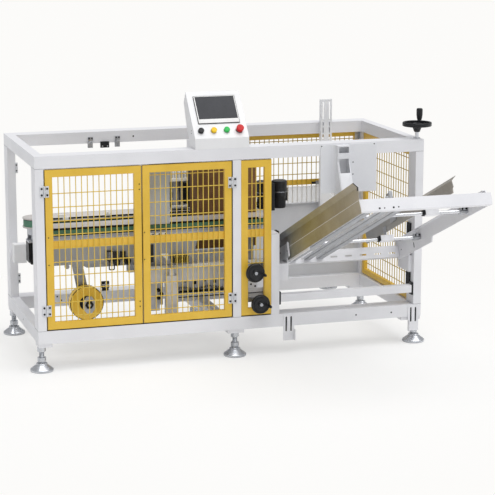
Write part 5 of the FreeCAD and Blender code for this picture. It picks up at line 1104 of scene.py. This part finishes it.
def make_upper_inside():
    """Plate behind the right door, a dark sheet of painted shade and bars at the flap head, white clips,
    black slats, one of them painted shade in a slot.
    """
    hung = block((632, 100.3, 590), (747, 104, 935), 1.4)
    make("inner_hung_plate", hung, HUNG_PAINT)
    # Painted shade: a dark sheet behind the flap head, where the space between the valve block and the case
    # lies in shade.
    behind = block((862, 553, 566), (1010, 557, 880), 1.2)
    make("inner_painted_shade_plate", behind, PAINTED_SHADE_SHEET)
    bar = block((857, 474, 604), (950, 486, 616), 2.0)
    comb = [block((864 + 17 * k, 480, 752), (875 + 17 * k, 486.5, 808), 1.5) for k in range(5)]
    comb.append(block((858, 478, 752), (952, 486.5, 770), 2.0))
    nubs = [block((866 + 84 * k, 514, z), (874 + 84 * k, 520, z + 12), 1.5) for k in (0, 1)
            for z in (640, 690)]
    clips = [block((204, 441, 588), (238, 449, 608), 2.0), block((232, 440, 572), (264, 448, 592), 2.0),
             block((469, 441, 586), (505, 449, 600), 2.0), block((476, 440, 596), (488, 447, 610), 2.0)]
    fronts = [block((640 + 36 * k, 144, 518), (668 + 36 * k, 150, 536), 2.0) for k in range(3)]
    make("inner_white_clips", [bar, *comb, *nubs, *clips, *fronts], WHITE_PLASTIC)
    holes = dots(4.6, [(662 + 36 * k, 144, 527) for k in range(3)], FRONT)
    # The upright black slat at X 925 to 957 fills a slot's place in black: painted shade.
    slats = [block((925, 484, 624), (957, 490, 742), 1.5), block((857, 478, 576), (950, 486, 586), 1.5),
             block((857, 470, 588), (975, 476, 596), 1.5)]
    make("inner_black_slats", [holes, *slats], SCREW_DARK, slot="flap_grey")


def make_channel_trim():
    """Pale top edge of the front channel, a rod on the column, white gusset, dark block, winding."""
    strip = prism([(182, 322), (196.2, 340), (196.6, 340), (196.6, 322)], 612, 1332, axis=0)
    gusset = prism([(706, 416), (749, 415), (746, 377)], 152, 158, axis=1)
    make("channel_top_strip", [strip, gusset], WHITE_PLASTIC, slot="frame_paint")
    core = lathe([(10, 286), (11, 287), (11, 321), (9, 323)], 28, (776, 184, 0))
    make("column_core", core, LIP_PAINT, slot="frame_paint")
    dark = block((643, 150, 372), (668, 158, 470), 2.0)
    head = block((824, 350, 362), (908, 400, 376), 2.5)
    make("inner_dark_blocks", [dark, head], BLACK_PAINT, slot="tape_steel")
    turns = np.linspace(0, tau * 7, 7 * 20 + 1)
    helix = np.stack([772 + 72 * turns / turns[-1], 128 + 21 * np.cos(turns), 386 + 21 * np.sin(turns)], -1)
    spring = pipe(helix, 3.6, 8, up=RIGHT)
    make("inner_coil", spring, COIL_BRASS, slot="tape_steel")
    shaft = lathe([(8, 0), (8, 88)], 20, (764, 128, 386), RIGHT)
    ends = [block((x, 104, 368), (x + 5, 158, 406), 1.5) for x in (763, 848)]
    make("inner_coil_shaft", [shaft, *ends], RAIL_BLACK, slot="tape_steel")


def make_lower_tray():
    """Two-rail tray on four straps under the rear channel, with a row of links and a valve group."""
    rails = [block((850, 500, 84), (1292, 512, 106), 2.0), block((850, 500, 56), (1292, 540, 78), 2.0)]
    straps = [block((x, 512, 58), (x + 22, 516, 250), 1.2) for x in (856, 1000, 1140, 1268)]
    back = block((852, 516.5, 106), (1290, 519, 182), 1.2)
    make("lower_tray", [*rails, *straps, back], CHANNEL_PAINT)
    strip = block((852, 497, 107), (1290, 512, 117), 1.5)
    seam = block((852, 501, 78), (1290, 508, 84), 1.0)
    sway = [6 * sin(k * 0.7) for k in range(24)]
    links = [block((880 + 17 * k, 500, 124 + s), (890 + 17 * k, 514, 134 + s), 2.5)
             for k, s in enumerate(sway)]
    plugs = [block((876 + 58 * k, 506, 150 + 14 * (k % 2)), (890 + 58 * k, 516, 168 + 14 * (k % 2)), 2.0)
             for k in range(7)]
    valve = [(9, 0), (10, 1), (10, 14), (7, 17), (3, 17)]
    valves = [lathe(valve, 24, (714 + 17 * (k % 2), 243, 152 + 22 * k), FRONT) for k in range(3)]
    make("tray_links", links, LID_METAL, slot="frame_paint")
    make("tray_black_parts", [strip, seam, *plugs, *valves], SCREW_DARK, slot="frame_paint")
    group = block((664, 243, 110), (742, 249, 250), 2.0)
    make("valve_group_plate", group, CHANNEL_PAINT)


def make_adjuster():
    """Adjuster on the front beam: finned body, two round knobs, wire catch, plug, and a boss."""
    body = [block((408, 140, 398), (440, 158, 452), 3.0), block((442, 144, 394), (470, 158, 446), 3.0),
            block((480, 146, 400), (512, 158, 444), 3.0)]
    fins = [block((410 + 8 * k, 136, 404), (414 + 8 * k, 141, 446), 1.0) for k in range(4)]
    heads = dots(4.0, [(452 + 10 * (k % 2), 144, 406 + 9 * k) for k in range(4)], FRONT)
    make("adjuster_body", body, BLACK_PAINT, slot="beam_grey")
    make("adjuster_fins", fins, TAPE_STEEL, slot="beam_grey")
    knob = [(7, 0), (7, 6), (18, 7.5), (20, 10), (20, 21), (18, 24), (12, 24.6), (10, 21), (3, 21)]
    knobs = [lathe(knob, 36, (x, 158, z), FRONT) for x, z in ((460, 387), (518, 391))]
    seats = [block((450, 150, 380), (466, 158, 400), 2), block((514, 150, 384), (530, 158, 404), 2)]
    make("adjuster_knobs", [*knobs, heads, *seats], BLACK_PLASTIC, slot="beam_grey")
    turn = np.linspace(0, pi / 2, 6)
    left = np.stack([427 - 6 * np.cos(turn), np.full(6, 152.0), 352 - 6 * np.sin(turn)], -1)
    right = np.stack([443 + 6 * np.sin(turn), np.full(6, 152.0), 352 - 6 * np.cos(turn)], -1)
    path = np.concatenate([[(421, 152, 400)], left, right, [(449, 152, 396)]])
    make("adjuster_wire_catch", pipe(path, 3.2, 10, up=INWARD), SCREW_DARK, slot="beam_grey")
    plug = block((384, 150, 400), (394, 158, 408), 2.0)
    make("adjuster_plug", plug, WHITE_PLASTIC, slot="beam_grey")
    boss = lathe([(10, 0), (12, 1.5), (12, 18), (9, 20)], 28, (192, 168, 377), FRONT)
    make("beam_boss", boss, BEAM_PAINT)


# Suction motor

def make_suction():
    """Two upright drums on a shared plate: turned cans with ribs, shiny lids, bracket and box."""
    y = 522.0
    can = [(28, 564), (35, 564.6), (36, 567), (36, 625), (35, 628), (38, 629), (40, 632), (40, 648),
           (42, 652), (44, 657), (44, 676), (43.2, 677), (43.2, 679), (44, 680), (44, 716), (43, 720),
           (40, 721.4), (30, 721.4)]
    lid = [(42.6, 713), (43.4, 717), (41.6, 720.8), (38.6, 722), (36.8, 721.2), (35.4, 719.4), (14, 719.2),
           (11, 721.6), (3, 721.8)]
    belt = [(43.6, 655.2), (44.6, 656), (44.6, 660), (43.8, 661)]
    a = np.arange(24) * tau / 24
    round_ribs = np.stack([36.2 * np.cos(a), 36.2 * np.sin(a), np.full(24, 570.0)], -1)
    ribs = tubes(round_ribs, round_ribs + [0, 0, 52], 1.3, 6)
    centres = [(x, y, 0) for x in (1410.0, 1504.0)]
    plate = block((1447, y - 36, 554), (1467, y + 36, 712), 2.0)
    bracket = block((1284, y - 30, 588), (1457, y + 30, 598), 1.5)
    box = block((1504, y + 2, 600), (1556, y + 50, 675), 3.0)
    shapes = [copies(lathe(can, 56), centres), copies(ribs, centres), plate, bracket, box]
    make("suction_drums", shapes, BLACK_PAINT, stands_for=["suction_motor"])
    make("suction_lids", copies(lathe(lid, 56), centres), LID_METAL)
    make("suction_rings", copies(lathe(belt, 56), centres), LID_METAL)


# Handwheels

def make_top_wheel():
    """Flat rim 12 wide and 22 tall with rounded edges, three flat spokes, a cone hub on a stem, and a
    turned handle that stands on the rim."""
    x, y, z = 2146.0, 45.0, 1080.0
    cut = rounded(12.0, 22.0, 4.5, 4) + [75.0, 0.0]
    turn = np.linspace(0, tau, 64, endpoint=False)
    points = np.stack([cut[:, 0] * np.cos(turn)[:, None], cut[:, 0] * np.sin(turn)[:, None],
                       np.broadcast_to(cut[:, 1], (64, len(cut)))], -1)
    rim = (points.reshape(-1, 3) + [x, y, z], grid(64, len(cut), close=True), [])
    hub = lathe([(12, -44), (16, -42.5), (27, -14), (27.6, -11), (24, 3), (20, 5.4), (9, 5.5), (8, 3.5)], 40,
                (x, y, z))
    spokes = []
    for k in range(3):
        t = radians(57 + 120 * k)
        bar = block((14, -7, -8), (71, 7, 0), 2.4)
        points = bar[0] @ np.array([[cos(t), sin(t), 0], [-sin(t), cos(t), 0], [0, 0, 1]])
        spokes.append((points + [x, y, z], bar[1], bar[2]))
    t = radians(57)
    grip = (x + 69 * cos(t), y + 69 * sin(t), z)
    handle = lathe([(7, 4), (7, 12), (11.5, 13.2), (12.6, 16), (15.5, 28), (17.2, 44), (17.6, 66),
                    (16.8, 75.5), (13, 78.6), (6, 79)], 32, grip)
    make("top_wheel_rim_and_handle", [rim, hub, handle, *spokes], BLACK_PLASTIC, "top_wheel",
         stands_for=["top_handwheel"])
    stem = lathe([(18, 1000.4), (19, 1001.4), (19, 1005), (18, 1006), (11, 1006.2), (11, 1040)], 32,
                 (x, y, 0))
    make("top_wheel_stem", stem, ROD_STEEL, "top_wheel", slot="rod_steel")


def make_small_wheels():
    """Dished discs with a rolled rim, a bright hub cap, a shaft and a turned handle."""
    for name, x, z in (("upper_wheel", 1183.0, 320.0), ("lower_wheel", 1213.0, 144.0)):
        base = (x, -46.0, z)
        disc = lathe([(14, -14), (16, -12), (17, -3), (36, -1.5), (42, -5.5), (48, -6.8), (51.6, -4),
                      (53, 1.5), (52.6, 8), (49, 13), (44, 15), (22, 15), (18, 20), (17, 27), (8, 27)], 56,
                     base, INWARD)
        a = radians(-10)
        grip_at = (x + 43 * cos(a), -50.0, z + 43 * sin(a))
        grip = lathe([(5, 0), (5, 6), (7.6, 8), (8.6, 20), (8.2, 38), (6, 45.5), (2, 46)], 24, grip_at, FRONT)
        make(name + "_disc", joined(disc, grip), BLACK_PLASTIC, name,
             stands_for=[name.replace("_wheel", "_handwheel")])
        hub = lathe([(9, 0), (9, 2.5), (7.5, 4), (3, 4.2)], 24, (x, -60.0, z), FRONT)
        shaft = lathe([(7.9, 0), (7.9, 212)], 20, (x, -19.0, z), INWARD)
        make(name + "_hub_and_shaft", joined(hub, shaft), GEAR_METAL, name, slot="rod_steel")


# Tape head

def make_tape():
    """Wound roll with a slight crown and a dark rim, its core, hub and front flange, and wipe rollers."""
    roll = lathe([(39, -23.5), (60, -24), (92, -24), (93.6, -22.8), (94, -20), (94, 20), (93.6, 22.8),
                  (92, 24), (60, 24), (39, 23.5)], 84, ROLL, FRONT)
    make("tape_winding", roll, AMBER, "tape", stands_for=["tape_roll"])
    rims = [lathe([(90.6, h - 0.7), (91.0, h + 0.7), (94.2, h + 0.7), (94.6, h - 0.7)], 84, ROLL, FRONT)
            for h in (23.9, -23.9)]
    core = lathe([(30, -27.5), (36, -28), (41, -26), (41, 26), (36, 28), (30, 27.5)], 56, ROLL, FRONT)
    make("tape_core_and_rims", [core, *rims], RUBBER, "tape", slot="tape_amber")
    hub = lathe([(12.3, -27), (27, -27), (29, -25), (29, 25), (27, 27), (12.3, 27)], 40, ROLL, FRONT)
    make("tape_hub", hub, BLACK_PLASTIC, "tape", slot="roller_black")
    a = pi / 8 + np.arange(8) * tau / 8
    oval = np.stack([349 + 38 * np.cos(a), 113 + 51 * np.sin(a)], -1)
    flange = prism(oval, 341.5, 346.6, axis=1)
    make("tape_flange", flange, HINGE_METAL, slot="tape_steel", bevel=1.2)
    boss = lathe([(23, 0), (24, 1), (24, 5), (22.5, 6.4), (8, 6.6)], 6, (349, 341.5, 114), FRONT)
    make("tape_flange_nut", boss, BLACK_PLASTIC, slot="tape_steel")
    pin = lathe([(9, 0), (9, 2.6), (7, 4), (2, 4.2)], 24, (349, 335, 114), FRONT)
    make("tape_flange_pin", pin, SCREW_ZINC, slot="tape_steel")
    rollers = [lathe([(16, -27.4), (19, -26), (19, 26), (16, 27.4)], 36, (x, 381, 359), FRONT)
               for x in (512.0, 576.0)]
    make("wipe_rollers", rollers, RUBBER, stands_for=["tape_rollers"])


bpy.context.scene.view_settings.view_transform = "Standard"
set_camera()
set_lamps()
set_floor()
dress(FRAME_PAINT, "top_rails", "bottom_rails", "posts", "lower_crossbar", "slotted_brackets", soften=1.6)
dress(HOUSING_PAINT, "control_housing", "junction_box", soften=2.0)
dress(SHEET_PAINT, "stop_plate", "stop_arm", soften=0.8)
dress(MAST_STEEL, "mast", soften=0.8)
dress(PANEL_PAINT, "back_panel", soften=0.8)
dress(STRIP_SHEET, "back_strip")
dress(BEAM_PAINT, "belt_beams", "case_bed", soften=1.2)
dress(CHANNEL_PAINT, "supports", soften=1.2)
dress(BOARD, "erected_case")
dress(TAPE_STEEL, "tape_head", soften=0.8)
dress(FLAP_PAINT, "flap_head", "valve_block", soften=1.5)
dress(HOPPER_PAINT, "hopper_arms", "hopper_beams", "hopper_carriages", soften=0.9)
dress(LEFT_GUIDE_PAINT, "left_guide", soften=0.6)
dress(RAIL_BLACK, "lift_rails", "crossbar_pads", soften=0.8)
dress(BEARING_METAL, "wheel_supports", soften=1.0)
make_guards()
make_hinges()
make_feet()
make_controls()
make_belts()
make_motors()
make_slide_bars()
make_rods()
make_right_guide()
make_hopper_trim()
make_seals_and_welds()
make_rail_sensors()
make_plate_trim()
make_upper_inside()
make_channel_trim()
make_lower_tray()
make_adjuster()
make_suction()
make_top_wheel()
make_small_wheels()
make_tape()
